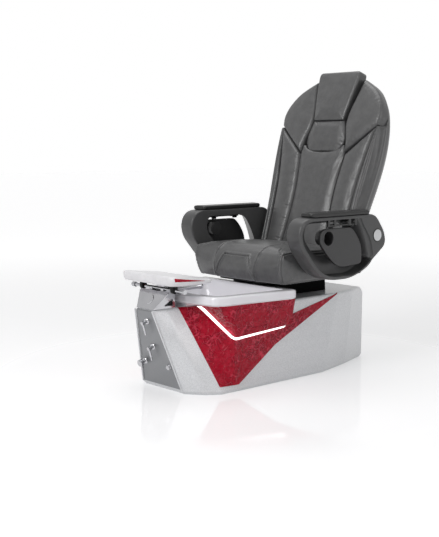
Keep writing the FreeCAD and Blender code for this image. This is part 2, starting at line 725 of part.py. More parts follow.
def spout():
    """Filler spout that reaches from the console over the rim into the bowl."""
    radius, bore = size("spout_radius"), size("spout_bore")
    end, height = size("spout_end"), level("spout_height")
    start = size("console_rear") + GAP
    tube = rod(radius, (0, start, height), (0, end, height))
    tube = tube.fuse([rod(radius + 4, (0, start, height), (0, start + 8, height)),
                      rod(radius + 1.5, (0, end - 12, height), (0, end - 4, height))])
    tube = tube.cut(rod(bore, (0, start + 20, height), (0, end + 1, height)))
    feature("spout", tube.removeSplitter())


# ---------------------------------------------------------------- pedestal and seat slide

def pedestal():
    """Black pedestal on the deck, with the two fixed slide rails on it."""
    half, foot, top = size("pedestal_half_width"), size("deck_height") + GAP, level("pedestal_top")
    front, rear = size("pedestal_front"), size("pedestal_rear")
    side_view = [(front, foot), (rear, foot), (rear - 4, top), (front + 4, top)]
    body = padded("pedestal", "YZ_Plane", side_view, [0] * 4,
                  -half, "Sizes.pedestal_half_width * 2")
    rounded_edges = [f"Edge{index}" for index, edge in enumerate(body.Shape.Edges, start=1)
                     if abs(edge.tangentAt(edge.FirstParameter).z) > 0.9]
    block_pad = body.Tip
    fillet = body.newObject("PartDesign::Fillet", "pedestal_corners")
    fillet.Base = (block_pad, rounded_edges)
    fillet.Radius = 18
    doc.recompute()
    rails, runners = [], []
    width, base, wall = size("rail_width"), top + GAP, 4.0
    inner = width - 2 * wall - 2 * size("slide_gap")
    for side in SIDES.values():
        middle = side * size("rail_gauge")
        rail = block((middle - width / 2, front + 6, base),
                     (middle + width / 2, rear - 6, base + size("rail_height")))
        rail = rail.cut(block((middle - width / 2 + wall, front, base + 3),
                              (middle + width / 2 - wall, rear, base + 40)))
        rails.append(rail)
        runner_foot = base + 3 + size("slide_gap")
        runners.append(block((middle - inner / 2, front + 10, runner_foot),
                             (middle + inner / 2, rear + 40, pan_under())))
    feature("slide_rails", Part.makeCompound(rails))
    feature("slide_runners", Part.makeCompound(runners))


def pan_under():
    """Height of the seat pan's underside."""
    return level("pedestal_top") + GAP + size("rail_height") + size("runner_height") / 2


def seat_pan():
    """Flat seat frame that the runners carry."""
    half, front, rear = size("pan_half_width"), size("pan_front"), size("pan_rear")
    padded("seat_pan", "XY_Plane", [(-half, front), (half, front), (half, rear), (-half, rear)], [20] * 4,
           pan_under() + GAP, "Sizes.pan_thick")


def recline_pin():
    """Cross tube that the back turns on, on two ears, and the arm plates on the tube's ends."""
    y, z, radius = size("hinge_rear"), level("hinge_height"), size("hinge_radius")
    foot = pan_under() + 2 * GAP + size("pan_thick")
    ear_x = size("pan_half_width") - 12
    ears = [side_prism([(y - 34, foot), (y + 26, foot), (y + 16, z + 16), (y - 16, z + 16)], [0, 0, 14, 14],
                       side * ear_x - 4, side * ear_x + 4) for side in SIDES.values()]
    inside = size("arm_plate_inside")
    outside = inside + size("arm_plate_thick")
    tube = rod(radius, (-outside, y, z), (outside, y, z))
    feature("recline_pin", tube.fuse(ears).removeSplitter())
    pivot_y, pivot_z = size("arm_pivot_rear"), level("arm_pivot_height")
    reach = size("arm_inside") + size("arm_web") + 4
    plates = []
    for side in SIDES.values():
        low, high = sorted((side * inside, side * outside))
        corners = [(y - 20, z - 18), (y + 20, z - 18), (pivot_y + 24, pivot_z - 10),
                   (pivot_y + 24, pivot_z + 24),
                   (pivot_y - 24, pivot_z + 24), (pivot_y - 24, pivot_z - 10)]
        cheek = side_prism(corners, [16, 16, 0, 22, 22, 0], low, high)
        collar = rod(radius + 6, (side * (inside - 12), y, z), (side * inside, y, z))
        pivot = rod(size("pivot_radius"), (side * outside, pivot_y, pivot_z),
                    (side * reach, pivot_y, pivot_z))
        plate = cheek.fuse([collar, pivot]).cut(rod(radius + GAP, (side * 250, y, z), (side * 350, y, z)))
        plates.append(plate.removeSplitter())
    feature("arm_plates", Part.makeCompound(plates))


def crowned_section(half, low, high, soft, crown, y):
    """Level-bottomed cushion section across the width with a crowned top and soft corners."""
    drawn = soft * 0.68
    left_low, right_low = Vector(-half + drawn, y, low), Vector(half - drawn, y, low)
    left, right = Vector(-half, y, high - soft), Vector(half, y, high - soft)
    shoulder_l, shoulder_r = Vector(-half + soft, y, high), Vector(half - soft, y, high)
    corner = soft * 0.29
    return Part.Wire([
        Part.LineSegment(left_low, right_low).toShape(),
        Part.Arc(right_low, Vector(half - drawn * 0.35, y, between(low, high - soft, 0.5)), right).toShape(),
        Part.Arc(right, Vector(half - corner, y, high - corner), shoulder_r).toShape(),
        Part.Arc(shoulder_r, Vector(0, y, high + crown), shoulder_l).toShape(),
        Part.Arc(shoulder_l, Vector(-half + corner, y, high - corner), left).toShape(),
        Part.Arc(left, Vector(-half + drawn * 0.35, y, between(low, high - soft, 0.5)), left_low).toShape(),
    ])


def seat_body(inset):
    """Seat cushion's crowned form, moved inward on every side by a distance."""
    low = pan_under() + GAP * 2 + size("pan_thick")
    half, front, rear = size("seat_half_width") - inset, size("seat_front") + inset, size("seat_rear")
    high, back = level("seat_front_height") - inset, level("seat_rear_height") - inset
    sections = [
        crowned_section(half - 34, low + 50, high - 28, 34, 3, front),
        crowned_section(half - 12, low + 16, high - 8, 42, 6, front + 16),
        crowned_section(half, low, high, 44, 8, front + 50),
        crowned_section(half, low, high + 2, 44, 10, front + 190),
        crowned_section(half, low, between(high, back, 0.6), 44, 8, rear - 120),
        crowned_section(half - 4, low, back, 44, 4, rear),
    ]
    return Part.makeLoft(sections, True, False)


def seat_seams():
    """Front-view paths of the seat's sewn channels: the centre trapezoid and the two arcs beside it."""
    low, high = pan_under() + size("pan_thick") + 4, level("seat_front_height")
    foot, head = size("seam_foot_half"), size("seam_head_half")
    centre = [(-foot, low), (-head, high - 48), (head, high - 48), (foot, low)]
    arc = [(foot, low), (foot - 18, between(low, high, 0.3)), (foot - 15, between(low, high, 0.56)),
           (foot - 2, between(low, high, 0.8)), (foot + 20, high + 12)]
    return [centre, arc, [(-x, z) for x, z in arc]]


def seat_cushion():
    """Crowned seat cushion with a rounded front, drawn-in sides and sewn channels."""
    low, half, front = pan_under() + GAP * 2 + size("pan_thick"), size("seat_half_width"), size("seat_front")
    width, depth = size("channel_width"), size("channel_depth")
    clear = block((-half * 2, -size("seat_back_gap"), -400), (half * 2, 400, 400))
    clear.Placement = back_place()
    board = block((-half * 2, front * 2, low - 100), (half * 2, size("seat_rear") * 2, low))
    body = seat_body(0)
    bands = []
    for path in seat_seams():
        edge = path_moved(path, -width / 2) + path_moved(path, width / 2)[::-1]
        bands.append(front_prism(edge, [0] * len(edge), front - 20, front + size("channel_reach")))
    channels = bands[0].fuse(bands[1:]).cut(seat_body(depth))
    feature("seat_cushion", body.cut(channels).cut(board).cut(clear))


# ---------------------------------------------------------------- back

def back_place():
    """Frame of the leaning back: Z up along its front face, Y into its thickness."""
    foot = Vector(0, size("back_foot"), level("back_foot_height"))
    return Placement(foot, Rotation(Vector(1, 0, 0), -size("back_lean")))


def in_back(y, z):
    """Where a side-view point of the row's frame lies in the back's own frame, as (y, z)."""
    local = back_place().inverse().multVec(Vector(0, y, z))
    return local.y, local.z


def back_feature(label, shape):
    """Sub-part of the back, modelled in the back's own frame."""
    item = feature(label, shape)
    item.Placement = back_place()
    return item


def back_outline():
    """The back's half-widths at heights along its face, foot to shoulder."""
    low, wide, length = size("back_low_half"), size("back_wide_half"), size("back_length")
    return [(low - 12, -62), (low, 190), (between(low, wide, 0.75), 380), (wide, 500), (wide - 3, 600),
            (wide - 12, length - 240), (wide - 32, length - 160), (wide - 88, length - 80),
            (wide - 190, length - 22)]


def shell_section(half, front, rear, height):
    """Level section of the back shell with softly turned rear corners."""
    soft = min(rear - front, half) * 0.62
    points = [Vector(half, front, height), Vector(half, rear, height),
              Vector(-half, rear, height), Vector(-half, front, height)]
    return wire(points, [8, soft, soft, 8])


def back_shell():
    """Hollow rear housing of the back, open at the front where the cushions sit."""
    pad, deep = size("back_pad_thick"), size("back_shell_thick")
    side = 16
    depths = [0.62, 0.92, 1.0, 1.0, 0.96, 0.82, 0.62, 0.36, 0.16]
    sections = [shell_section(half, side, pad + deep * share, height)
                for (half, height), share in zip(back_outline(), depths)]
    body = Part.makeLoft(sections, True, False)
    seam = seam_outline()
    top = size("back_length") + 60
    pocket = [(seam[0][0], -90)] + seam[1:] + [(450, seam[-1][1] + 12), (450, top)]
    points = [Vector(x, -40, z) for x, z in pocket] + [Vector(-x, -40, z) for x, z in reversed(pocket)]
    body = body.cut(Part.Face(wire(points, [0] * len(points))).extrude(Vector(0, 40 + pad, 0)))
    wall = size("wall")
    rows = list(zip(back_outline(), depths))[:-3]
    (foot_half, foot), foot_share = rows[0]
    rows[0] = ((foot_half, foot - 2), foot_share)
    inner = [shell_section(half - wall - 2, pad + wall, pad + deep * share - wall, height)
             for (half, height), share in rows]
    window = block((-168, pad - 1, -90), (168, pad + wall + 2, size("back_length") - 230))
    back_feature("back_shell", body.cut(Part.makeLoft(inner, True, False)).cut(window))


def seam_outline():
    """Half-widths of the seam between the side bolsters and the wrapped shell."""
    return [(262, -62), (270, 211), (279, 362), (301, 503), (331, 652)]


def centre_outline():
    """Half-widths of the waisted seam between the centre panel and the bolsters."""
    half = size("centre_half")
    return [(half + 12, -58), (half - 3, 114), (half - 11, 300), (half + 11, 492)]


def stuffed(label, points, soft, front, crown):
    """Cushion in the back's frame: outline in its face, drawn in towards the front and crowned."""
    pad = size("back_pad_thick")
    face = [Vector(x, z, 0) for x, z in points]
    wires = []
    for inset, depth in ((0, pad - GAP), (0, front + soft), (soft * 0.3, front + soft * 0.3),
                         (soft, front - crown)):
        moved = moved_out(face, -inset)
        wires.append(wire([Vector(point.x, depth, point.y) for point in moved], [0] * len(moved)))
    back_feature(label, Part.makeLoft(wires, True, True))


def back_cushions():
    """Centre panel, bolsters, head wings, neck patch and the head pillow."""
    gap = 0.6
    centre, seam = centre_outline(), seam_outline()
    middle = centre[:-1] + [(centre[-1][0] - gap, 492), (142.4, 566), (101, 512 - gap)]
    stuffed("back_cushion", middle_points(middle), 9, 0, 2)
    stuffed("neck_pad", middle_points([(100, 512), (142, 571), (104, 679 - gap)]), 8, 0, 1)
    top = size("back_length")
    stuffed("head_pillow", middle_points([(103, 679), (146, top + 12)]), 10, -14, 2)
    for name, side in SIDES.items():
        inner = [(x + gap, z) for x, z in centre]
        bolster = [(seam[0][0] - gap, -58)] + [(x - gap, z) for x, z in seam[1:-1]]
        bolster += [(329, 649), (265, 594), (158, 502)] + inner[::-1]
        wing = [(331.4, 653), (size("back_wide_half") - 10, 690), (322, 764), (262, 845), (160, top - 20),
                (105, 678), (143.2, 571), (153, 502.6), (265, 595)]
        stuffed("back_bolster_" + name, facing(bolster, side), 12, 0, 8)
        stuffed("head_wing_" + name, facing(wing, side), 12, 0, 6)


def middle_points(half):
    """Counter-clockwise outline in the face from its +X half, listed from foot to top."""
    return half + [(-x, z) for x, z in reversed(half)]


def facing(points, side):
    """Counter-clockwise outline on the left, or its mirror image on the right."""
    return points if side > 0 else [(-x, z) for x, z in reversed(points)]


def back_frame():
    """Steel frame of the back: two rails, cross tubes and the lugs that turn on the cross tube."""
    hinge_y, hinge_z = in_back(size("hinge_rear"), level("hinge_height"))
    rail, top = 8, size("back_length") - 262
    depth = size("back_pad_thick") + 40
    radius = size("hinge_radius")
    parts = []
    for side in SIDES.values():
        parts.append(rod(rail, (side * 130, depth, hinge_z), (side * 130, depth, top)))
        parts.append(rod(radius + 6, (side * 118, hinge_y, hinge_z), (side * 148, hinge_y, hinge_z)))
    wall_rear = size("back_pad_thick") + size("wall") + GAP
    for height in (-40, top - 10):
        parts.append(rod(rail, (-180, depth, height), (180, depth, height)))
        for side in SIDES.values():
            low, high = sorted((side * 172, side * 188))
            parts.append(block((low, wall_rear, height - 12), (high, depth, height + 12)))
    frame = parts[0].fuse(parts[1:])
    frame = frame.cut(rod(radius + size("pivot_gap"), (-200, hinge_y, hinge_z), (200, hinge_y, hinge_z)))
    back_feature("back_frame", largest(frame.removeSplitter()))


def massage():
    """Massage carriage that climbs the rails inside the back, and its pair of rollers."""
    depth = size("back_pad_thick") + 40
    foot = 30
    body = block((-150, depth - 16, foot), (150, depth + 16, foot + 60))
    for side in SIDES.values():
        body = body.cut(rod(8.3, (side * 130, depth, foot - 5), (side * 130, depth, foot + 65)))
        body = body.cut(block((side * 60 - 22, depth - 40, foot - 1),
                              (side * 60 + 22, depth + 13, foot + 61)))
    axle = rod(5, (-90, depth - 12, foot + 30), (90, depth - 12, foot + 30))
    back_feature("massage_carriage", body.fuse(axle).removeSplitter())
    rollers = []
    for side in SIDES.values():
        wheel = rod(24, (side * 60 - 16, depth - 12, foot + 30), (side * 60 + 16, depth - 12, foot + 30))
        hole = rod(5.3, (side * 60 - 20, depth - 12, foot + 30), (side * 60 + 20, depth - 12, foot + 30))
        rollers.append(wheel.cut(hole))
    back_feature("massage_rollers", Part.makeCompound(rollers))


# ---------------------------------------------------------------- arms

def arm_outline(inset=0.0):
    """Side-view outline of an armrest, moved inward by a distance, with its radii."""
    front, rear, top, low = size("arm_front"), size("arm_rear"), level("arm_top"), level("arm_bottom")
    points = [(front, top, 98), (front, low + 167, 50), (front + 163, low, 120), (front + 403, low, 110),
              (rear, low + 140, 30), (rear, low + 194, 30), (rear - 80, top, 20)]
    moved = moved_out([Vector(y, z, 0) for y, z, _ in points], -inset)
    return [(point.x, point.y) for point in moved], [max(radius - inset, 6) for _, _, radius in points]


def tray_hinge():
    """Height of the pin that the tray swings on."""
    return level("arm_top") - size("tray_hinge_drop")


def tray_outline(inset=0.0):
    """Side-view outline of the folded tray, with its radii."""
    hinge = tray_hinge()
    points = [(66, hinge - 34, 26), (72, hinge - 70, 20), (190, hinge - 204, 40), (372, hinge - 204, 18),
              (428, hinge - 172, 16), (414, hinge - 88, 16), (350, hinge - 14, 12), (120, hinge - 14, 20)]
    moved = moved_out([Vector(y, z, 0) for y, z, _ in points], -inset)
    return [(point.x, point.y) for point in moved], [radius for _, _, radius in points]


def flat(points):
    """Side-view (y, z) pairs as sketch points."""
    return [Vector(y, z, 0) for y, z in points]


def armrest(name, side):
    """Hollow loop shell, its pad, pivot cap and the folding cup tray."""
    inside, outside = size("arm_inside"), size("arm_outside")
    start = inside if side > 0 else -outside
    points, radii = arm_outline()
    shell = padded("armrest_shell_" + name, "YZ_Plane", points, radii, start,
                   "Sizes.arm_outside - Sizes.arm_inside")
    recess, recess_radii = arm_outline(size("arm_rim"))
    recess[4:] = [(452, recess[3][1] + 58), (452, 700), (400, recess[0][1])]
    recess_radii[4:] = [20, 20, 24]
    web = inside + size("arm_web")
    pocketed(shell, "tray_recess_" + name, "YZ_Plane", outline(flat(recess), recess_radii), side * web,
             "Sizes.arm_outside - Sizes.arm_inside", side > 0)
    window = [(50, 758), (46, 682), (118, 604), (436, 604), (402, 690), (330, 758)]
    pocketed(shell, "loop_window_" + name, "YZ_Plane", outline(flat(window), [40, 30, 40, 24, 60, 40]),
             side * (inside - 5), "Sizes.arm_web + 30", side > 0)
    bore = Part.Circle(Vector(size("arm_pivot_rear"), level("arm_pivot_height"), 0), Vector(0, 0, 1),
                       size("pivot_radius") + size("pivot_gap"))
    pocketed(shell, "pivot_bore_" + name, "YZ_Plane", [bore], side * (inside - 5),
             "Sizes.arm_web + 10", side > 0)
    pad_points = [(size("arm_pad_front"), 0), (size("arm_pad_rear"), 0),
                  (size("arm_pad_rear"), size("arm_pad_thick")),
                  (size("arm_pad_front"), size("arm_pad_thick"))]
    base = level("arm_top") + GAP
    pad = side_prism([(y, base + z) for y, z in pad_points], [0, 0, 6, 9], min(side * inside, side * outside),
                     max(side * inside, side * outside))
    plan = [Vector(side * inside, size("arm_pad_front") + 6, 0),
            Vector(side * outside, size("arm_pad_front"), 0),
            Vector(side * outside, size("arm_pad_rear"), 0), Vector(side * inside, size("arm_pad_rear"), 0)]
    column = Part.Face(wire(plan, [10, 26, 8, 8])).extrude(Vector(0, 0, 2000))
    feature("arm_pad_" + name, pad.common(column))
    turned("pivot_cap_" + name, [(0, GAP), (size("cap_radius"), GAP), (size("cap_radius"), size("cap_proud")),
                                 (size("cap_radius") - 2, size("cap_proud") + 1.5),
                                  (0, size("cap_proud") + 1.5)],
           Placement(Vector(side * outside, size("arm_pivot_rear"), level("arm_pivot_height")),
                     Rotation(Vector(0, 1, 0), side * 90)))
    tray(name, side)


def tray(name, side):
    """Cup tray with its cup well, folded into the armrest's outer side, and the pin that it swings on."""
    thick, outside = size("tray_thick"), size("arm_outside")
    cup_y, cup_z, cup = 139, tray_hinge() - 59, size("cup_radius")
    points, radii = tray_outline()
    low, high = sorted((side * (outside - thick), side * outside))
    panel = side_prism(points, radii, low, high)
    lip = rod(cup + size("cup_lip"), (low, cup_y, cup_z), (high, cup_y, cup_z))
    depth, wall = size("cup_depth"), size("cup_wall")
    cup_foot = side * (outside - depth)
    well = rod(cup + wall, (cup_foot, cup_y, cup_z), (side * outside, cup_y, cup_z))
    hinge = tray_hinge()
    pin = size("tray_pin_radius")
    axis_x = side * (outside - thick / 2)
    knuckles = [rod(pin + 3.5, (axis_x, y, hinge), (axis_x, y + 26, hinge)) for y in (150, 300)]
    webs = [block((axis_x - 3, y, hinge - 16), (axis_x + 3, y + 26, hinge)) for y in (150, 300)]
    body = panel.fuse([lip, well] + knuckles + webs)
    body = body.cut(rod(cup, (cup_foot + side * wall, cup_y, cup_z), (side * (outside + 5), cup_y, cup_z)))
    body = body.cut(rod(pin + size("pivot_gap"), (axis_x, 100, hinge), (axis_x, 400, hinge)))
    feature("cup_tray_" + name, body.removeSplitter())
    ears = [block((axis_x - 5, y, hinge - 5), (axis_x + 5, y + 14, level("arm_top") - size("arm_rim") - GAP))
            for y in (134, 178, 284, 328)]
    rod_shape = rod(pin, (axis_x, 134, hinge), (axis_x, 342, hinge))
    feature("tray_pin_" + name, rod_shape.fuse(ears).removeSplitter())


def main():
    """Build every sub-part, check it and write its file."""
    bowl_well = bowl(size("wall") + GAP, size("bowl_floor") - size("wall") - GAP)
    base_shell(bowl_well)
    floor_plate()
    skins(bowl_well)
    basin()
    drain()
    jet()
    bowl_skirts(bowl_well)
    front_panel()
    valves()
    console()
    footrest()
    spout()
    pedestal()
    seat_pan()
    recline_pin()
    seat_cushion()
    back_shell()
    back_cushions()
    back_frame()
    massage()
    for name, side in SIDES.items():
        armrest(name, side)


main()
doc.recompute()
for item in doc.Objects:
    if "Invalid" in item.State or "Error" in item.State:
        raise ValueError(item.Name + " failed")
os.makedirs("parts", exist_ok=True)
for item in NODES:
    if item.Shape.isNull() or not item.Shape.isValid():
        raise ValueError(item.Label + " has no valid shape")
    item.Shape.exportStep("parts/" + item.Label + ".step")
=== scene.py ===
"""Dressing of a pedicure spa chair: finishes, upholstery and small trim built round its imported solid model.

Everything is in metres in the solid model's own frame: +X is the sitter's left, the sitter faces -Y and +Z is
up. The classes of the upholstery, armrests, footrest and trim hold millimetres, which MM turns into metres.
"""

import json
import logging
import math
from dataclasses import dataclass, field
from enum import Enum
from typing import Sequence

import bmesh
import bpy
import numpy as np
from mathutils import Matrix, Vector


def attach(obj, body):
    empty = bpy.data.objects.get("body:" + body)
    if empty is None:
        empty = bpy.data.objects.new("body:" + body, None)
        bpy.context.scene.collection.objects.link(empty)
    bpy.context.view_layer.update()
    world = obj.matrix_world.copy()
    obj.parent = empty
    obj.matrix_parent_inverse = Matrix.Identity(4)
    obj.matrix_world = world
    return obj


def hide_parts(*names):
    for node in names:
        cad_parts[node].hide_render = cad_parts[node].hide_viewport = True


Array = np.ndarray
Colour = tuple[float, float, float]
Socket = bpy.types.NodeSocket
Piece = bpy.types.Object

LOG = logging.getLogger("spa_chair")
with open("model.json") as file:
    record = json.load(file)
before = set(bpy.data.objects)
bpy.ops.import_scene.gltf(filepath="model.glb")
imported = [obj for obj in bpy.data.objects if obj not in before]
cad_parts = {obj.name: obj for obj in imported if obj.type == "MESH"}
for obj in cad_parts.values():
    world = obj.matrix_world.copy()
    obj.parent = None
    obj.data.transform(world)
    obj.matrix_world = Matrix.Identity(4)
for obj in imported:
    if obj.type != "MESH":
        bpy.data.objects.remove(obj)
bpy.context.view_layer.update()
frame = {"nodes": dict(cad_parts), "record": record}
MM = 0.001
SIDES = ((1, "left"), (-1, "right"))


# ---------------------------------------------------------------- shader groups


class Nodes:
    """A node tree with short calls for adding and joining nodes."""

    def __init__(self, tree: bpy.types.NodeTree) -> None:
        """Keep the tree that the calls work on."""
        self.tree = tree

    def add(self, kind: str, **values: object) -> bpy.types.Node:
        """Add a node and set its values.

        Args:
            kind: Blender's node type.
            values: properties by name, or inputs by name with spaces as underscores.

        Returns:
            The new node.
        """
        node = self.tree.nodes.new(kind)
        for name, value in values.items():
            socket = node.inputs.get(name.replace("_", " "))
            if hasattr(node, name):
                setattr(node, name, value)
            elif isinstance(value, Socket):
                self.tree.links.new(value, socket)
            else:
                socket.default_value = value
        return node

    def join(self, start: Socket, end: Socket) -> None:
        """Join two sockets."""
        self.tree.links.new(start, end)

    def math(self, operation: str, *terms: object) -> Socket:
        """Add a math node on sockets or numbers.

        Args:
            operation: Blender's name of the operation.
            terms: one to three sockets or numbers.

        Returns:
            The result's socket.
        """
        node = self.tree.nodes.new("ShaderNodeMath")
        node.operation = operation
        for socket, term in zip(node.inputs, terms):
            if isinstance(term, Socket):
                self.join(term, socket)
            else:
                socket.default_value = float(term)
        return node.outputs[0]

    def ramp(self, value: Socket, low: float, high: float,
             out_low: float = 0.0, out_high: float = 1.0) -> Socket:
        """Smooth clamped remap of a value.

        Args:
            value: the socket that is remapped.
            low: value that gives out_low.
            high: value that gives out_high.
            out_low: result at low.
            out_high: result at high.

        Returns:
            The result's socket.
        """
        node = self.tree.nodes.new("ShaderNodeMapRange")
        node.interpolation_type = "SMOOTHSTEP"
        self.join(value, node.inputs["Value"])
        limits = (("From Min", low), ("From Max", high), ("To Min", out_low), ("To Max", out_high))
        for name, number in limits:
            node.inputs[name].default_value = number
        return node.outputs["Result"]

    def mix(self, share: object, low: object, high: object) -> Socket:
        """Mix two colours, each a socket or a colour.

        Args:
            share: socket or number, 0 for low and 1 for high.
            low: colour or socket at 0.
            high: colour or socket at 1.

        Returns:
            The mixed colour's socket.
        """
        node = self.tree.nodes.new("ShaderNodeMix")
        node.data_type = "RGBA"
        for socket, term in ((node.inputs[0], share), (node.inputs[6], low), (node.inputs[7], high)):
            if isinstance(term, Socket):
                self.join(term, socket)
            elif isinstance(term, (int, float)):
                socket.default_value = float(term)
            else:
                socket.default_value = (*term, 1.0)
        return node.outputs[2]

    def warped(self, vector: Socket, warp: bpy.types.Node, amount: float) -> Socket:
        """Place pushed about by a noise.

        Args:
            vector: the place.
            warp: noise node whose colour is the push.
            amount: how far the push goes, in metres.

        Returns:
            The pushed place's socket.
        """
        push = self.add("ShaderNodeVectorMath", operation="MULTIPLY_ADD")
        self.join(warp.outputs["Color"], push.inputs[0])
        push.inputs[1].default_value = (amount,) * 3
        self.join(vector, push.inputs[2])
        return push.outputs[0]

    def coords(self) -> Socket:
        """Object coordinates."""
        return self.add("ShaderNodeTexCoord").outputs["Object"]


class Relief(Enum):
    """Named surface patterns; each is one shader group with a height and a shade."""

    GRAIN = "leather_grain"
    EMBOSSED = "embossed_wrinkle"
    FLAKE = "metal_flake"
    BRUSHED = "brushed_lines"
    MOULDED = "moulded_texture"

    def group(self) -> bpy.types.NodeTree:
        """Shader group of the pattern, built once.

        Returns:
            The group, with inputs Vector, Scale and Wear and outputs Height, Shade and Dust.
        """
        made = bpy.data.node_groups.get(self.value)
        if made is not None:
            return made
        tree = bpy.data.node_groups.new(self.value, "ShaderNodeTree")
        tree.interface.new_socket("Vector", in_out="INPUT", socket_type="NodeSocketVector")
        for name, value in (("Scale", 1.0), ("Wear", 0.5)):
            socket = tree.interface.new_socket(name, in_out="INPUT", socket_type="NodeSocketFloat")
            socket.default_value = value
        for name in ("Height", "Shade", "Dust"):
            tree.interface.new_socket(name, in_out="OUTPUT", socket_type="NodeSocketFloat")
        nodes = Nodes(tree)
        entry, leave = nodes.add("NodeGroupInput"), nodes.add("NodeGroupOutput")
        scaled = nodes.add("ShaderNodeVectorMath", operation="SCALE")
        nodes.join(entry.outputs["Vector"], scaled.inputs[0])
        nodes.join(entry.outputs["Scale"], scaled.inputs["Scale"])
        height, shade = getattr(self, "_" + self.name.lower())(nodes, scaled.outputs[0])
        smudge = nodes.add("ShaderNodeTexNoise", Vector=entry.outputs["Vector"], Scale=7.0, Detail=4.0)
        dust = nodes.math("MULTIPLY", nodes.ramp(smudge.outputs["Fac"], 0.35, 0.7), entry.outputs["Wear"])
        nodes.join(height, leave.inputs["Height"])
        nodes.join(shade, leave.inputs["Shade"])
        nodes.join(dust, leave.inputs["Dust"])
        return tree

    @staticmethod
    def _grain(nodes: Nodes, vector: Socket) -> tuple:
        """Leather: soft creases, with small rounded cells on them.

        Args:
            nodes: the group's nodes.
            vector: the scaled place.

        Returns:
            Height and shade sockets.
        """
        warp = nodes.add("ShaderNodeTexNoise", Vector=vector, Scale=90.0, Detail=2.0)
        pushed = nodes.warped(vector, warp, 0.004)
        cells = nodes.add("ShaderNodeTexVoronoi", feature="DISTANCE_TO_EDGE", Vector=pushed, Scale=420.0)
        pebble = nodes.ramp(cells.outputs["Distance"], 0.0, 0.16)
        creases = nodes.add("ShaderNodeTexNoise", Vector=vector, Scale=26.0, Detail=6.0, Roughness=0.62)
        height = nodes.math("ADD", nodes.math("MULTIPLY", pebble, 0.05), creases.outputs["Fac"])
        return height, nodes.ramp(creases.outputs["Fac"], 0.3, 0.72)

    @staticmethod
    def _embossed(nodes: Nodes, vector: Socket) -> tuple:
        """Crushed embossed skin: long curved ridges that meet in irregular cells, with painted highlights on
        the ridges.

        Args:
            nodes: the group's nodes.
            vector: the scaled place.

        Returns:
            Height socket, and a shade socket that holds the painted ridge highlights and a random mottle.
        """
        warp = nodes.add("ShaderNodeTexNoise", Vector=vector, Scale=15.0, Detail=3.0, Roughness=0.55)
        pushed = nodes.warped(vector, warp, 0.06)
        coarse = nodes.add("ShaderNodeTexVoronoi", feature="DISTANCE_TO_EDGE", Vector=pushed, Scale=34.0)
        fine = nodes.add("ShaderNodeTexVoronoi", feature="DISTANCE_TO_EDGE", Vector=pushed, Scale=72.0)
        ridge = nodes.ramp(coarse.outputs["Distance"], 0.0, 0.20, 1.0, 0.0)
        small = nodes.ramp(fine.outputs["Distance"], 0.0, 0.22, 1.0, 0.0)
        patch = nodes.add("ShaderNodeTexNoise", Vector=vector, Scale=14.0, Detail=2.0)
        shown = nodes.ramp(patch.outputs["Fac"], 0.42, 0.6)
        lines = nodes.math("MAXIMUM", nodes.math("MULTIPLY", ridge, nodes.math("ADD", shown, 0.35)),
                           nodes.math("MULTIPLY", small, nodes.math("MULTIPLY", shown, 0.7)))
        height = nodes.math("ADD", lines, nodes.math("MULTIPLY", warp.outputs["Fac"], 0.6))
        mottle = nodes.add("ShaderNodeTexNoise", Vector=pushed, Scale=44.0, Detail=3.0)
        # Painted highlight: the ridges lighten the colour towards the tint as if light caught them; the mottle
        # is random tone.
        lit = nodes.math("ADD", nodes.math("MULTIPLY", nodes.ramp(lines, 0.25, 1.1), 0.5),
                         nodes.ramp(mottle.outputs["Fac"], 0.40, 0.70, 0.0, 0.12))
        return height, lit

    @staticmethod
    def _flake(nodes: Nodes, vector: Socket) -> tuple:
        """Metal flake under clear gel coat: one even shade for each tiny cell.

        Args:
            nodes: the group's nodes.
            vector: the scaled place.

        Returns:
            Height and shade sockets.
        """
        flakes = nodes.add("ShaderNodeTexVoronoi", Vector=vector, Scale=520.0)
        split = nodes.add("ShaderNodeSeparateColor", Color=flakes.outputs["Color"])
        clouds = nodes.add("ShaderNodeTexNoise", Vector=vector, Scale=180.0, Detail=3.0)
        shade = nodes.math("ADD", nodes.math("MULTIPLY", split.outputs[0], 0.6),
                           nodes.math("MULTIPLY", clouds.outputs["Fac"], 0.4))
        return clouds.outputs["Fac"], shade

    @staticmethod
    def _brushed(nodes: Nodes, vector: Socket) -> tuple:
        """Brushed metal: noise stretched far along the height.

        Args:
            nodes: the group's nodes.
            vector: the scaled place.

        Returns:
            Height and shade sockets.
        """
        squeeze = nodes.add("ShaderNodeMapping")
        nodes.join(vector, squeeze.inputs["Vector"])
        squeeze.inputs["Scale"].default_value = (60.0, 60.0, 1.0)
        lines = nodes.add("ShaderNodeTexNoise", Scale=22.0, Detail=5.0)
        nodes.join(squeeze.outputs[0], lines.inputs["Vector"])
        return lines.outputs["Fac"], lines.outputs["Fac"]

    @staticmethod
    def _moulded(nodes: Nodes, vector: Socket) -> tuple:
        """Spark-eroded mould texture: fine even noise with faint flow shading.

        Args:
            nodes: the group's nodes.
            vector: the scaled place.

        Returns:
            Height and shade sockets.
        """
        fine = nodes.add("ShaderNodeTexNoise", Vector=vector, Scale=900.0, Detail=2.0)
        flow = nodes.add("ShaderNodeTexNoise", Vector=vector, Scale=9.0, Detail=3.0)
        return fine.outputs["Fac"], flow.outputs["Fac"]


# ---------------------------------------------------------------- finishes


def empty_material(name: str) -> tuple[bpy.types.Material, Nodes]:
    """New material with an empty node tree.

    Args:
        name: the material's name.

    Returns:
        The material and its nodes.
    """
    material = bpy.data.materials.new(name)
    material.use_nodes = True
    nodes = Nodes(material.node_tree)
    nodes.tree.nodes.clear()
    return material, nodes


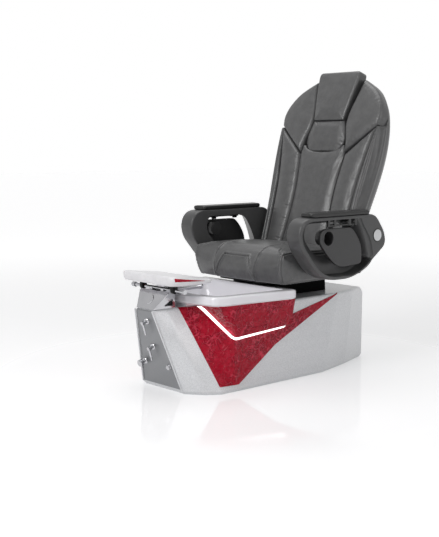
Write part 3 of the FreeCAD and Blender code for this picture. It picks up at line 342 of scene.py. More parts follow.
@dataclass(frozen=True)
class Finish:
    """One surface finish, which builds its own material.

    colour and tint are the low and high ends of the pattern's shade, and depth is the relief in metres. The
    finish fills the record's slot of its own name.
    """

    name: str
    colour: Colour
    tint: Colour
    relief: Relief
    roughness: float = 0.4
    rough_spread: float = 0.08
    metallic: float = 0.0
    coat: float = 0.0
    coat_roughness: float = 0.08
    specular: float = 0.5
    scale: float = 1.0
    depth: float = 0.0002
    bump: float = 0.5
    wear: float = 0.5
    glow: float = 0.0
    slot: str = ""

    def material(self) -> bpy.types.Material:
        """Material of the finish, built once.

        Returns:
            The material.
        """
        title = self.name + "_finish"
        made = bpy.data.materials.get(title)
        if made is not None:
            return made
        material, nodes = empty_material(title)
        out = nodes.add("ShaderNodeOutputMaterial")
        shader = nodes.add("ShaderNodeBsdfPrincipled", Metallic=self.metallic, Coat_Weight=self.coat,
                           Coat_Roughness=self.coat_roughness, Specular_IOR_Level=self.specular)
        pattern = nodes.add("ShaderNodeGroup", node_tree=self.relief.group(), Scale=self.scale,
                            Wear=self.wear)
        nodes.join(nodes.coords(), pattern.inputs["Vector"])
        colour = nodes.mix(pattern.outputs["Shade"], self.colour, self.tint)
        nodes.join(colour, shader.inputs["Base Color"])
        rough = nodes.math("MULTIPLY_ADD", pattern.outputs["Dust"], self.rough_spread, self.roughness)
        nodes.join(rough, shader.inputs["Roughness"])
        bump = nodes.add("ShaderNodeBump", Strength=self.bump, Distance=self.depth,
                         Height=pattern.outputs["Height"])
        nodes.join(bump.outputs[0], shader.inputs["Normal"])
        if self.glow:
            shader.inputs["Emission Color"].default_value = (*self.tint, 1.0)
            shader.inputs["Emission Strength"].default_value = self.glow
        nodes.join(shader.outputs[0], out.inputs["Surface"])
        return material

    def dress(self, piece: Piece) -> Piece:
        """Give a piece this finish.

        Args:
            piece: a mesh object.

        Returns:
            The same piece.
        """
        piece.data.materials.clear()
        piece.data.materials.append(self.material())
        return piece


LEATHER = Finish("grey_leather", (0.078, 0.078, 0.079), (0.100, 0.100, 0.101), Relief.GRAIN,
                 roughness=0.30, rough_spread=0.10, coat=0.25, coat_roughness=0.22, depth=0.0022, bump=0.6)
COVER = Finish("grey_cover", (0.068, 0.068, 0.069), (0.088, 0.088, 0.089), Relief.GRAIN,
               roughness=0.32, rough_spread=0.10, coat=0.2, coat_roughness=0.22, depth=0.0022, bump=0.6)
PEARL = Finish("pearl_shell", (0.60, 0.61, 0.63), (0.95, 0.96, 0.98), Relief.FLAKE,
               roughness=0.3, coat=0.5, depth=0.0001, bump=0.12)
# Painted highlight: the tint is the pink-white of light caught on the embossed ridges; the colour is the red
# itself.
RED = Finish("red_inlay", (0.40, 0.0008, 0.018), (0.86, 0.075, 0.130), Relief.EMBOSSED,
             roughness=0.22, specular=0.18, depth=0.007, bump=1.0)
STRIP = Finish("light_strip", (0.95, 0.95, 0.97), (1.0, 1.0, 1.0), Relief.MOULDED, glow=1.9)
BASIN = Finish("basin", (0.89, 0.88, 0.92), (0.92, 0.91, 0.95), Relief.MOULDED, roughness=0.16, coat=0.6,
               depth=0.00004, bump=0.1)
CHROME = Finish("chrome", (0.44, 0.44, 0.46), (0.62, 0.62, 0.64), Relief.MOULDED, roughness=0.07,
                rough_spread=0.1, metallic=1.0, depth=0.00003, bump=0.1)
BLACK_PLASTIC = Finish("black_plastic", (0.0025, 0.0025, 0.0025), (0.004, 0.004, 0.004),
                       Relief.MOULDED, roughness=0.5, specular=0.02)
PANEL = Finish("brushed_panel", (0.23, 0.235, 0.245), (0.32, 0.325, 0.335), Relief.BRUSHED,
               roughness=0.36, metallic=0.7, depth=0.00006, bump=0.2)
TRIM = Finish("white_trim", (0.66, 0.67, 0.69), (0.86, 0.87, 0.89), Relief.FLAKE, roughness=0.3,
              coat=0.4)
BLACK_STEEL = Finish("black_steel", (0.006, 0.006, 0.006), (0.01, 0.01, 0.01), Relief.MOULDED,
                     roughness=0.5, specular=0.25)
WHITE_PAD = Finish("white_pad", (0.80, 0.79, 0.81), (0.88, 0.87, 0.89), Relief.GRAIN, roughness=0.32,
                   coat=0.2, depth=0.0002, bump=0.15)
RUBBER = Finish("black_rubber", (0.006, 0.006, 0.006), (0.012, 0.012, 0.012), Relief.MOULDED,
                roughness=0.7, specular=0.2)
CHARCOAL = Finish("charcoal_plastic", (0.062, 0.062, 0.063), (0.080, 0.080, 0.081),
                  Relief.MOULDED, roughness=0.3, rough_spread=0.1, depth=0.00004, bump=0.15)
BLACK_PAD = Finish("black_pad", (0.012, 0.012, 0.012), (0.02, 0.02, 0.02), Relief.GRAIN,
                   roughness=0.28, depth=0.0003, bump=0.25)
SILVER_CAP = Finish("silver_cap", (0.62, 0.63, 0.64), (0.72, 0.73, 0.74), Relief.BRUSHED,
                    roughness=0.3, metallic=0.4)
TRAY = Finish("dark_tray", (0.030, 0.030, 0.031), (0.040, 0.040, 0.041), Relief.MOULDED,
              roughness=0.3)
DARK_CHROME = Finish("dark_chrome", (0.05, 0.05, 0.05), (0.09, 0.09, 0.09), Relief.MOULDED,
                     roughness=0.22, metallic=0.9, depth=0.00003, bump=0.1, slot="chrome")
INNER = Finish("dark_recess", (0.010, 0.010, 0.010), (0.015, 0.015, 0.015), Relief.MOULDED,
               roughness=0.4, slot="dark_tray")
BOARD = Finish("base_board", (0.12, 0.11, 0.1), (0.2, 0.19, 0.17), Relief.BRUSHED, roughness=0.7)

FINISHES = {finish.name: finish for finish in (
    LEATHER, COVER, PEARL, RED, STRIP, BASIN, CHROME, BLACK_PLASTIC, PANEL, TRIM, BLACK_STEEL, WHITE_PAD,
    RUBBER, CHARCOAL, BLACK_PAD, SILVER_CAP, TRAY, BOARD)}


def fitted(piece: Piece, finish: Finish, body: str, node: str = "") -> None:
    """Dress a piece, let it ride a body and hide the solid that it stands in for.

    Args:
        piece: a mesh object.
        finish: its finish.
        body: the body that it rides.
        node: the solid's node that it replaces, or nothing.
    """
    finish.dress(piece)
    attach(piece, body)
    if node:
        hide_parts(node)


# ---------------------------------------------------------------- studio


@dataclass
class Lamp:
    """A square soft lamp aimed at a point."""

    name: str
    place: Colour
    power: float
    width: float
    target: Colour = (0.0, 0.1, 0.6)

    def build(self) -> None:
        """Add the lamp to the scene."""
        data = bpy.data.lights.new(self.name, "AREA")
        data.energy, data.size = self.power, self.width
        lamp = bpy.data.objects.new(self.name, data)
        lamp.location = self.place
        aim = Vector(self.target) - Vector(self.place)
        lamp.rotation_euler = aim.to_track_quat("-Z", "Y").to_euler()
        bpy.context.scene.collection.objects.link(lamp)


@dataclass
class Studio:
    """Camera, pale floor, world, lamps and the dark cards that give reflections their contrast.

    A card is its place, its width and its height.
    """

    camera_place: Colour = (3.5503, -3.3761, 1.1302)
    azimuth: float = 47.91
    tilt: float = 7.10
    lens: float = 67.08
    sensor: float = 36.0
    sky: float = 0.34
    mirror: float = 0.72
    floor_size: float = 60.0
    near_reach: float = 1.0
    polish_reach: float = 1.0
    dull_reach: float = 1.5
    far_reach: float = 6.5
    near_glow: float = 0.30
    far_glow: float = 0.60
    lamps: tuple = (
        Lamp("key_lamp", (0.6, -3.8, 3.2), 84.0, 1.9),
        Lamp("side_lamp", (4.2, 0.6, 2.2), 22.0, 2.0),
        Lamp("top_lamp", (-0.6, 0.4, 4.2), 44.0, 2.6),
    )
    cards: tuple = (
        ((-1.6, -4.4, 0.7), 1.5, 2.6),
        ((5.6, -1.6, 1.0), 1.3, 3.0),
        ((2.4, -5.4, 0.25), 1.6, 0.8),
    )

    def build(self) -> None:
        """Build the whole studio."""
        self.camera()
        self.world()
        self.floor()
        for lamp in self.lamps:
            lamp.build()
        for number, (place, wide, tall) in enumerate(self.cards):
            self.card(f"dark_card_{number}", place, wide, tall)
        bpy.context.scene.view_settings.view_transform = "Standard"

    def camera(self) -> None:
        """Camera at its place, looking along its azimuth and down by its tilt."""
        data = bpy.data.cameras.new("camera")
        data.lens, data.sensor_width = self.lens, self.sensor
        data.clip_start, data.clip_end = 0.05, 100.0
        camera = bpy.data.objects.new("camera", data)
        turn, tip = math.radians(self.azimuth), math.radians(self.tilt)
        back = Vector((math.sin(turn) * math.cos(tip), -math.cos(turn) * math.cos(tip), math.sin(tip)))
        camera.location = self.camera_place
        camera.rotation_euler = (-back).to_track_quat("-Z", "Y").to_euler()
        bpy.context.scene.collection.objects.link(camera)
        bpy.context.scene.camera = camera

    def card(self, name: str, place: Colour, wide: float, tall: float) -> None:
        """Dark card that only reflections see, facing the object.

        Args:
            name: the card's name.
            place: its middle.
            wide: its width.
            tall: its height.
        """
        card, nodes = self.sheet(name, wide, tall)
        card.location = place
        card.rotation_euler = (Vector((0.0, 0.0, 0.5)) - Vector(place)).to_track_quat("Z", "Y").to_euler()
        dark = nodes.add("ShaderNodeEmission", Color=(0.02, 0.02, 0.02, 1.0), Strength=1.0)
        out = nodes.add("ShaderNodeOutputMaterial")
        nodes.join(dark.outputs[0], out.inputs["Surface"])
        card.visible_camera = card.visible_diffuse = card.visible_shadow = False

    def world(self) -> None:
        """World that is white to the camera, pale grey in reflections and an even grey as light."""
        world = bpy.data.worlds.new("world")
        bpy.context.scene.world = world
        world.use_nodes = True
        nodes = Nodes(world.node_tree)
        nodes.tree.nodes.clear()
        path = nodes.add("ShaderNodeLightPath")
        seen = nodes.math("MAXIMUM", path.outputs["Is Camera Ray"], path.outputs["Is Transmission Ray"])
        shine = nodes.math("MULTIPLY", path.outputs["Is Glossy Ray"], self.mirror - self.sky)
        lit = nodes.math("ADD", nodes.math("MULTIPLY", seen, 1.0 - self.sky), shine)
        strength = nodes.math("ADD", lit, self.sky)
        light = nodes.add("ShaderNodeBackground", Color=(1.0, 1.0, 1.0, 1.0))
        nodes.join(strength, light.inputs["Strength"])
        out = nodes.add("ShaderNodeOutputWorld")
        nodes.join(light.outputs[0], out.inputs["Surface"])

    def floor(self) -> None:
        """Pale floor, polished near the object and duller further out, that keeps the object's shadow."""
        floor, nodes = self.sheet("studio_floor", self.floor_size, self.floor_size)
        shader = nodes.add("ShaderNodeBsdfPrincipled", Base_Color=(0.86, 0.86, 0.87, 1.0),
                           Specular_IOR_Level=0.35)
        glow = nodes.add("ShaderNodeEmission", Strength=1.0)
        path = nodes.add("ShaderNodeLightPath")
        seen = nodes.math("MAXIMUM", path.outputs["Is Camera Ray"], path.outputs["Is Glossy Ray"])
        far = nodes.add("ShaderNodeVectorMath", operation="LENGTH")
        nodes.join(nodes.coords(), far.inputs[0])
        nodes.join(nodes.ramp(far.outputs["Value"], self.polish_reach, self.dull_reach, 0.05, 0.5),
                   shader.inputs["Roughness"])
        level = nodes.ramp(far.outputs["Value"], self.near_reach, self.far_reach, self.near_glow,
                           self.far_glow)
        nodes.join(nodes.math("MULTIPLY", seen, level), glow.inputs["Strength"])
        both = nodes.add("ShaderNodeAddShader")
        nodes.join(shader.outputs[0], both.inputs[0])
        nodes.join(glow.outputs[0], both.inputs[1])
        out = nodes.add("ShaderNodeOutputMaterial")
        nodes.join(both.outputs[0], out.inputs["Surface"])

    @staticmethod
    def sheet(name: str, wide: float, tall: float) -> tuple[Piece, Nodes]:
        """Level rectangle round the origin with an empty material.

        Args:
            name: name of the rectangle and its material.
            wide: its size along X.
            tall: its size along Y.

        Returns:
            The rectangle and its material's nodes.
        """
        x, y = wide / 2, tall / 2
        mesh = bpy.data.meshes.new(name)
        mesh.from_pydata([(-x, -y, 0.0), (x, -y, 0.0), (x, y, 0.0), (-x, y, 0.0)], [], [(0, 1, 2, 3)])
        piece = bpy.data.objects.new(name, mesh)
        bpy.context.scene.collection.objects.link(piece)
        material, nodes = empty_material(name)
        mesh.materials.append(material)
        return piece, nodes


# ---------------------------------------------------------------- surfaces


def spaced(count: int, gather: float = 0.0) -> Array:
    """Steps from 0 to 1, drawn towards both ends.

    Args:
        count: how many steps.
        gather: 0 for even steps, 1 for half a cosine wave.

    Returns:
        The steps.
    """
    even = np.linspace(0.0, 1.0, count)
    return (1.0 - gather) * even + gather * (0.5 - 0.5 * np.cos(np.pi * even))


def softened(points: Sequence[Sequence[float]], rounds: int = 2) -> Array:
    """Cut the corners of an open line, keeping its two ends.

    Args:
        points: corners of the line.
        rounds: how many times each corner is cut at a quarter of its sides.

    Returns:
        The smoother line.
    """
    line = np.array(points, float)
    for _ in range(rounds):
        low, high = 0.75 * line[:-1] + 0.25 * line[1:], 0.25 * line[:-1] + 0.75 * line[1:]
        line = np.vstack([line[:1], np.stack([low, high], 1).reshape(-1, line.shape[1]), line[-1:]])
    return line


def along(line: Array, shares: Array) -> Array:
    """Points at shares of an open line's length.

    Args:
        line: the line's corners.
        shares: values from 0 to 1.

    Returns:
        One point for each share.
    """
    steps = np.linalg.norm(np.diff(line, axis=0), axis=1)
    reach = np.concatenate([[0.0], np.cumsum(steps)])
    return np.stack([np.interp(shares * reach[-1], reach, column) for column in line.T], -1)


def patch(bottom: Array, right: Array, top: Array, left: Array, across: Array, up: Array) -> Array:
    """Coons patch between four edges: the two ruled surfaces added, less the one between the corners.

    Args:
        bottom: edge from the lower left corner to the lower right one.
        right: edge from the lower right corner up.
        top: edge from the upper left corner to the upper right one.
        left: edge from the lower left corner up.
        across: shares from left to right.
        up: shares from bottom to top.

    Returns:
        Points with a row for each share up and a column for each share across.
    """
    low, high = along(bottom, across)[None], along(top, across)[None]
    near, far = along(left, up)[:, None], along(right, up)[:, None]
    s, t = across[None, :, None], up[:, None, None]
    corners = ((1 - s) * (1 - t) * bottom[0] + s * (1 - t) * bottom[-1]
               + (1 - s) * t * top[0] + s * t * top[-1])
    return (1 - t) * low + t * high + (1 - s) * near + s * far - corners


def to_line(points: Array, line: Array) -> tuple[Array, Array]:
    """Distance of points from a line, and how far along it each one's nearest place lies.

    Args:
        points: points in the plane, in rows.
        line: corners of the line.

    Returns:
        Distances and lengths along the line.
    """
    start, run = line[:-1], np.diff(line, axis=0)
    length = np.linalg.norm(run, axis=1)
    reach = np.concatenate([[0.0], np.cumsum(length)])[:-1]
    offset = points[:, None, :] - start[None]
    share = np.clip((offset * run).sum(-1) / np.maximum(length**2, 1e-12), 0.0, 1.0)
    gap = np.linalg.norm(offset - share[..., None] * run, axis=-1)
    best = gap.argmin(1)
    rows = np.arange(len(points))
    return gap[rows, best], reach[best] + share[rows, best] * length[best]


def pucker(place: Array, pitch: float, seed: float) -> Array:
    """Uneven ripple along a seam: a sine whose pitch and strength drift.

    Args:
        place: lengths along the seam.
        pitch: mean length of a ripple.
        seed: shift that makes each seam differ.

    Returns:
        Values from -1 to 1.
    """
    drift = 1.7 * np.sin(place / pitch * 1.31 + seed * 3.1) + 0.9 * np.sin(place / pitch * 0.47 + seed)
    swing = 0.55 + 0.45 * np.sin(place / pitch * 0.83 + seed * 5.7)
    return np.sin(place / pitch * 2.0 * np.pi + drift) * swing


def quads(rows: int, columns: int, around: bool = False, start: int = 0) -> list:
    """Faces of a grid of points.

    Args:
        rows: rows of points.
        columns: points in a row.
        around: whether the last column joins the first.
        start: number of the first point.

    Returns:
        Corner numbers of each face.
    """
    last = columns if around else columns - 1
    row, column = np.meshgrid(np.arange(rows - 1), np.arange(last), indexing="ij")
    after = (column + 1) % columns
    corners = [row * columns + column, row * columns + after, (row + 1) * columns + after,
               (row + 1) * columns + column]
    return (np.stack(corners, -1).reshape(-1, 4) + start).tolist()


def piece_of(name: str, points: Array, faces: list) -> Piece:
    """Smooth-shaded object in the scene from points in metres, its faces turned outward.

    Args:
        name: the piece's name.
        points: its points, in rows.
        faces: corner numbers of its faces.

    Returns:
        The new object.
    """
    mesh = bpy.data.meshes.new(name)
    mesh.from_pydata(np.asarray(points, float).reshape(-1, 3).tolist(), [], faces)
    work = bmesh.new()
    work.from_mesh(mesh)
    bmesh.ops.remove_doubles(work, verts=work.verts, dist=1e-6)
    bmesh.ops.recalc_face_normals(work, faces=work.faces)
    work.to_mesh(mesh)
    work.free()
    mesh.shade_smooth()
    piece = bpy.data.objects.new(name, mesh)
    bpy.context.scene.collection.objects.link(piece)
    return piece


def tube(name: str, rings: Array) -> Piece:
    """Closed piece through rings of points, a fan closing each end.

    Args:
        name: the piece's name.
        rings: points with a row for each ring.

    Returns:
        The new object.
    """
    count, around = rings.shape[:2]
    faces = quads(count, around, around=True)
    ends = np.stack([rings[0].mean(0), rings[-1].mean(0)])
    for pole, ring in ((count * around, 0), (count * around + 1, count - 1)):
        foot = ring * around
        faces += [[pole, foot + index, foot + (index + 1) % around] for index in range(around)]
    return piece_of(name, np.vstack([rings.reshape(-1, 3), ends]), faces)


def corner_line(points: Sequence[Sequence[float]], radii: Sequence[float], fine: int = 7) -> Array:
    """Closed outline with rounded corners, as points.

    Args:
        points: corners in order.
        radii: how far from each corner its rounding starts.
        fine: points on each rounding.

    Returns:
        The outline's points, not repeated at the end.
    """
    corners = np.array(points, float)
    made = []
    for index, reach in enumerate(radii):
        here, back, ahead = corners[index], corners[index - 1], corners[(index + 1) % len(corners)]
        start = here + (back - here) / np.linalg.norm(back - here) * reach
        end = here + (ahead - here) / np.linalg.norm(ahead - here) * reach
        share = np.linspace(0.0, 1.0, fine)[:, None]
        made.append((1 - share) ** 2 * start + 2 * share * (1 - share) * here + share**2 * end)
    return np.vstack(made)


def eased(share: Array) -> Array:
    """Share held between 0 and 1 and eased in and out: 3 s^2 - 2 s^3."""
    held = np.clip(share, 0.0, 1.0)
    return held * held * (3.0 - 2.0 * held)


def even_ring(outline: Array, count: int) -> Array:
    """Closed outline spaced evenly from its first point."""
    closed = np.vstack([outline, outline[:1]])
    return along(closed, np.linspace(0.0, 1.0, count, endpoint=False))


def reach_along(corners: tuple, reach: tuple, centre: tuple, turn: Array, count: int) -> Array:
    """Distance of a rounded outline from a centre along each direction.

    Args:
        corners: the outline's corners.
        reach: how far from each corner its rounding starts.
        centre: where the directions start.
        turn: the directions, as angles.
        count: how many points of the outline are measured.

    Returns:
        The distances.
    """
    line = even_ring(corner_line(corners, reach, 15), count) - np.array(centre)
    around = np.arctan2(line[:, 1], line[:, 0])
    order = np.argsort(around)
    return np.interp(turn, around[order], np.hypot(line[:, 0], line[:, 1])[order], period=2 * np.pi)


def upright_ring(x: object, far: object, centre: tuple, turn: Array) -> Array:
    """Ring of points in an upright plane across X: far from the centre along each direction.

    Args:
        x: place across, one for all or one for each point.
        far: distance from the centre, one for all or one for each point.
        centre: middle of the ring, deep and up.
        turn: directions of the points, as angles.

    Returns:
        The points.
    """
    return np.stack([np.broadcast_to(x, turn.shape), centre[0] + far * np.cos(turn),
                     centre[1] + far * np.sin(turn)], -1)


def evened(piece: Piece) -> None:
    """Weight the shading of a moulded piece by area, so that its flat faces shade flat."""
    modifier = piece.modifiers.new("weighted_normals", "WEIGHTED_NORMAL")
    modifier.weight, modifier.keep_sharp = 50, True


@dataclass(frozen=True)
class Swell:
    """Cloth simulation that pushes a closed cushion out against its sewn edges."""

    pressure: float = 4.0
    steps: int = 20
    cap: float = 0.006
    mass: float = 0.3
    stiffness: float = 12.0

    def run(self, piece: Piece, held: Array) -> None:
        """Args:
            piece: the closed cushion.
            held: hold on each point, 0 for free and 1 for fixed.
        """
        mesh = piece.data
        rest = np.zeros(len(mesh.vertices) * 3)
        mesh.vertices.foreach_get("co", rest)
        group = piece.vertex_groups.new(name="held")
        for index, hold in enumerate(held.tolist()):
            group.add([index], hold, "REPLACE")
        cloth = piece.modifiers.new("cloth", "CLOTH")
        settings = cloth.settings
        settings.quality, settings.mass = 5, self.mass
        settings.tension_stiffness = settings.compression_stiffness = self.stiffness
        settings.use_pressure, settings.uniform_pressure_force = True, self.pressure
        settings.vertex_group_mass = group.name
        settings.effector_weights.gravity = 0.0
        cloth.collision_settings.use_collision = False
        cloth.point_cache.frame_start, cloth.point_cache.frame_end = 1, self.steps
        for step in range(1, self.steps + 1):
            bpy.context.scene.frame_set(step)
        shown = piece.evaluated_get(bpy.context.evaluated_depsgraph_get())
        moved = np.zeros_like(rest)
        shown.data.vertices.foreach_get("co", moved)
        piece.modifiers.remove(cloth)
        piece.vertex_groups.remove(group)
        motion = (moved - rest).reshape(-1, 3)
        size = np.linalg.norm(motion, axis=1, keepdims=True)
        kept = motion * np.minimum(1.0, self.cap / np.maximum(size, 1e-9))
        mesh.vertices.foreach_set("co", rest + kept.ravel())
        mesh.update()
        bpy.context.scene.frame_set(1)


def subdivided(piece: Piece, levels: int = 1) -> None:
    """Add a subdivision that shows the same in the view and the render."""
    modifier = piece.modifiers.new("subdivision", "SUBSURF")
    modifier.levels = modifier.render_levels = levels


# ---------------------------------------------------------------- back


@dataclass(frozen=True)
class Panel:
    """One sewn panel of the back: its four edges in the back's face, in millimetres across and up."""

    name: str
    node: str
    bottom: tuple
    right: tuple
    top: tuple
    left: tuple
    soft: float = 13.0
    crown: float = 7.0
    front: float = 0.0
    top_front: float = 0.0
    ripple: float = 0.9
    pitch: float = 21.0
    seed: float = 0.0


@dataclass
class Upholstery:
    """Leather cushions of the reclining back and its cover, in a frame that leans back from its foot in metres.

    The cover's lines give a half-width or a depth at each height: at the bolster's seam, at its widest, at
    the second seam and at the rear.
    """

    lean: float = 17.6
    foot: tuple = (0.398, 0.607)
    depth: float = 61.7
    step: float = 5.5
    swell: Swell = field(default_factory=Swell)
    centre_side: tuple = ((154, -58), (139, 114), (131, 300), (152.4, 492))
    seam: tuple = ((261.4, -58), (269.4, 211), (278.4, 362), (300.4, 503), (329, 649))
    pocket: float = 62.0
    cover_seam: tuple = ((-62, 262), (211, 270), (362, 279), (503, 301), (640, 322), (700, 341), (765, 320),
                         (845, 264), (903, 162), (925, 110))
    cover_half: tuple = ((-62, 304), (190, 316), (380, 341.5), (500, 350), (600, 347), (685, 338), (765, 318),
                         (845, 262), (903, 160), (925, 108))
    cover_stitch: tuple = ((-62, 292), (100, 295), (280, 300), (454, 313), (600, 325), (652, 327), (925, 327))
    cover_thick: tuple = ((-62, 121), (190, 150), (380, 158), (500, 158), (600, 154), (685, 141), (765, 121),
                          (845, 97), (903, 77), (925, 70))

    def world(self, points: Array) -> Array:
        """Turn points of the leaning back (across, deep, up, in millimetres) into the model's frame.

        Args:
            points: an array whose last axis is across, deep and up.

        Returns:
            The points in metres.
        """
        turn = math.radians(self.lean)
        across, deep, up = (points[..., axis] * MM for axis in range(3))
        return np.stack([across, self.foot[0] + deep * math.cos(turn) + up * math.sin(turn),
                         self.foot[1] - deep * math.sin(turn) + up * math.cos(turn)], -1)

    def panels(self) -> list:
        """The panels on the middle plane and on the +X side.

        Returns:
            Panels with their edges listed left to right and foot to top.
        """
        side = self.centre_side
        mirror = tuple((-x, z) for x, z in side)
        inner = tuple((x + 0.8, z) for x, z in side)
        return [
            Panel("centre_panel", "back_cushion", (mirror[0], side[0]), side,
                  (mirror[-1], (-142.4, 562), (-101, 511), (101, 511), (142.4, 562), side[-1]), mirror,
                  crown=5.0, front=4.0, seed=0.3),
            Panel("neck_rest", "neck_pad", ((-100, 512), (100, 512)), ((100, 512), (142, 571), (104, 678)),
                  ((-104, 678), (104, 678)), ((-100, 512), (-142, 571), (-104, 678)), crown=6.0, front=6.0,
                  soft=9.0, seed=1.7),
            Panel("pillow", "head_pillow", ((-101, 677), (101, 677)),
                  ((101, 677), (140, 905), (138, 938), (124, 946)), ((-124, 946), (124, 946)),
                  ((-101, 677), (-140, 905), (-138, 938), (-124, 946)), crown=5.0, front=-8.0, top_front=4.0,
                  soft=11.0, ripple=0.5, seed=2.9),
            Panel("bolster", "back_bolster", (inner[0], self.seam[0]), self.seam,
                  (inner[-1], (160, 503), (265, 594), (329, 649)), inner, crown=14.0, soft=20.0, front=2.0,
                  ripple=1.7, pitch=13.0, seed=4.1),
            Panel("wing", "head_wing", ((153, 503), (265, 595.5), (331.4, 653)),
                  ((331.4, 653), (342, 705), (324, 768), (270, 840), (196, 886)), ((160, 906), (196, 886)),
                  ((153, 503), (143.4, 571), (105.5, 679), (149, 850), (160, 906)), crown=12.0, front=-7.0,
                  top_front=24.0, soft=18.0, ripple=0.6, seed=5.3),
        ]

    def surface(self, panel: Panel) -> tuple[Array, Array]:
        """Front and back faces of a panel's closed form.

        The front stands at the panel's depth, crowned towards its middle. Within the soft edge it drops back
        along a quarter circle, and ripples that fade with distance from the seam gather the leather.

        Args:
            panel: the panel.

        Returns:
            Points of the front face and of the back face, in the back's frame.
        """
        edges = [softened(edge, 2) if len(edge) > 2 else np.array(edge, float)
                 for edge in (panel.bottom, panel.right, panel.top, panel.left)]
        lengths = [np.linalg.norm(np.diff(edge, axis=0), axis=1).sum() for edge in edges]
        across = spaced(int(max(lengths[0], lengths[2]) / self.step) + 8, 0.75)
        up = spaced(int(max(lengths[1], lengths[3]) / self.step) + 8, 0.6)
        plan = patch(*edges, across, up)
        border = np.vstack([edges[0], edges[1][1:], edges[2][::-1][1:], edges[3][::-1][1:]])
        gap, place = to_line(plan.reshape(-1, 2), border)
        gap, place = gap.reshape(plan.shape[:2]), place.reshape(plan.shape[:2])
        rise = (plan[..., 1] - plan[..., 1].min()) / np.ptp(plan[..., 1])
        front = panel.front + (panel.top_front - panel.front) * rise**1.5
        drop = panel.soft * (1.0 - np.sqrt(1.0 - np.clip(1.0 - gap / panel.soft, 0.0, 1.0) ** 2))
        swell = panel.crown * (1.0 - np.exp(-gap / (panel.soft * 2.4)))
        fade = np.exp(-((gap - panel.soft) / panel.soft) ** 2)
        ripple = panel.ripple * fade * pucker(place, panel.pitch, panel.seed)
        face = np.dstack([plan[..., 0], front + drop - swell + ripple, plan[..., 1]])
        rear = np.dstack([plan[..., 0], np.full(gap.shape, self.depth), plan[..., 1]])
        return face, rear

    def sewn(self, panel: Panel, side: int) -> None:
        """Build one panel as a closed cushion, swell it and dress it.

        Args:
            panel: the panel.
            side: 1 as drawn, -1 for its mirror image, 0 for one on the middle plane.
        """
        suffix = {1: "_left", -1: "_right", 0: ""}[side]
        face, rear = self.surface(panel)
        if side < 0:
            face, rear = face[:, ::-1].copy(), rear[:, ::-1].copy()
            face[..., 0] *= -1.0
            rear[..., 0] *= -1.0
        rows, columns = face.shape[:2]
        total = rows * columns
        faces = quads(rows, columns) + [quad[::-1] for quad in quads(rows, columns, start=total)]
        ring = [*range(columns), *range(2 * columns - 1, total, columns),
                *range(total - 2, total - columns - 1, -1), *range(total - 2 * columns, 0, -columns)]
        for here, after in zip(ring, ring[1:] + ring[:1]):
            faces.append([here + total, after + total, after, here])
        points = self.world(np.concatenate([face.reshape(-1, 3), rear.reshape(-1, 3)]))
        piece = piece_of(panel.name + suffix, points, faces)
        self.swell.run(piece, self.held(piece, panel))
        subdivided(piece)
        fitted(piece, LEATHER, "backrest", panel.node + suffix)

    def held(self, piece: Piece, panel: Panel) -> Array:
        """Hold on each point: full at the seams and the back face, easing off over the soft edge.

        Args:
            piece: the panel's mesh.
            panel: the panel.

        Returns:
            Holds from 0 for free to 1 for fixed.
        """
        turn = math.radians(self.lean)
        points = np.array([vertex.co for vertex in piece.data.vertices])
        far, high = points[:, 1] - self.foot[0], points[:, 2] - self.foot[1]
        deep = (far * math.cos(turn) - high * math.sin(turn)) / MM
        return np.clip((deep - panel.front) / (panel.soft * 0.8), 0.0, 1.0)

    def build(self) -> None:
        """Build every panel."""
        for panel in self.panels():
            for side in ((1, -1) if panel.name in ("bolster", "wing") else (0,)):
                self.sewn(panel, side)
        self.wrap()

    def wrap(self) -> None:
        """Wrapped rear cover with the gathered strips beside the bolsters and the seamed side panels.

        Each level section runs from the pocket's wall over the gathered strip and down into the second seam,
        then round the side panel's corner, along the side, round the rear corner and on to the middle.
        """
        up = np.linspace(-61.0, 922.0, 236)
        seam = np.interp(up, *np.array(self.cover_seam, float).T)
        half = np.interp(up, *softened(self.cover_half).T)
        stitch = np.interp(up, *np.array(self.cover_stitch, float).T)
        thick = np.interp(up, *softened(self.cover_thick).T)
        open_top = eased((up - 640.0) / 26.0)
        rows = []
        for height, inner, outer, second, rear, lifted in zip(up, seam, half, stitch, thick, open_top):
            inner, second = min(inner, outer - 6.0), min(second, outer - 3.0)
            rows.append(self.section(height, inner, outer, second, rear, self.pocket * lifted))
        half_rings = np.array(rows)
        rings = np.concatenate([half_rings, (half_rings * np.array([-1.0, 1.0, 1.0]))[:, ::-1]], axis=1)
        cover = tube("back_cover", self.world(rings))
        fitted(cover, COVER, "backrest", "back_shell")

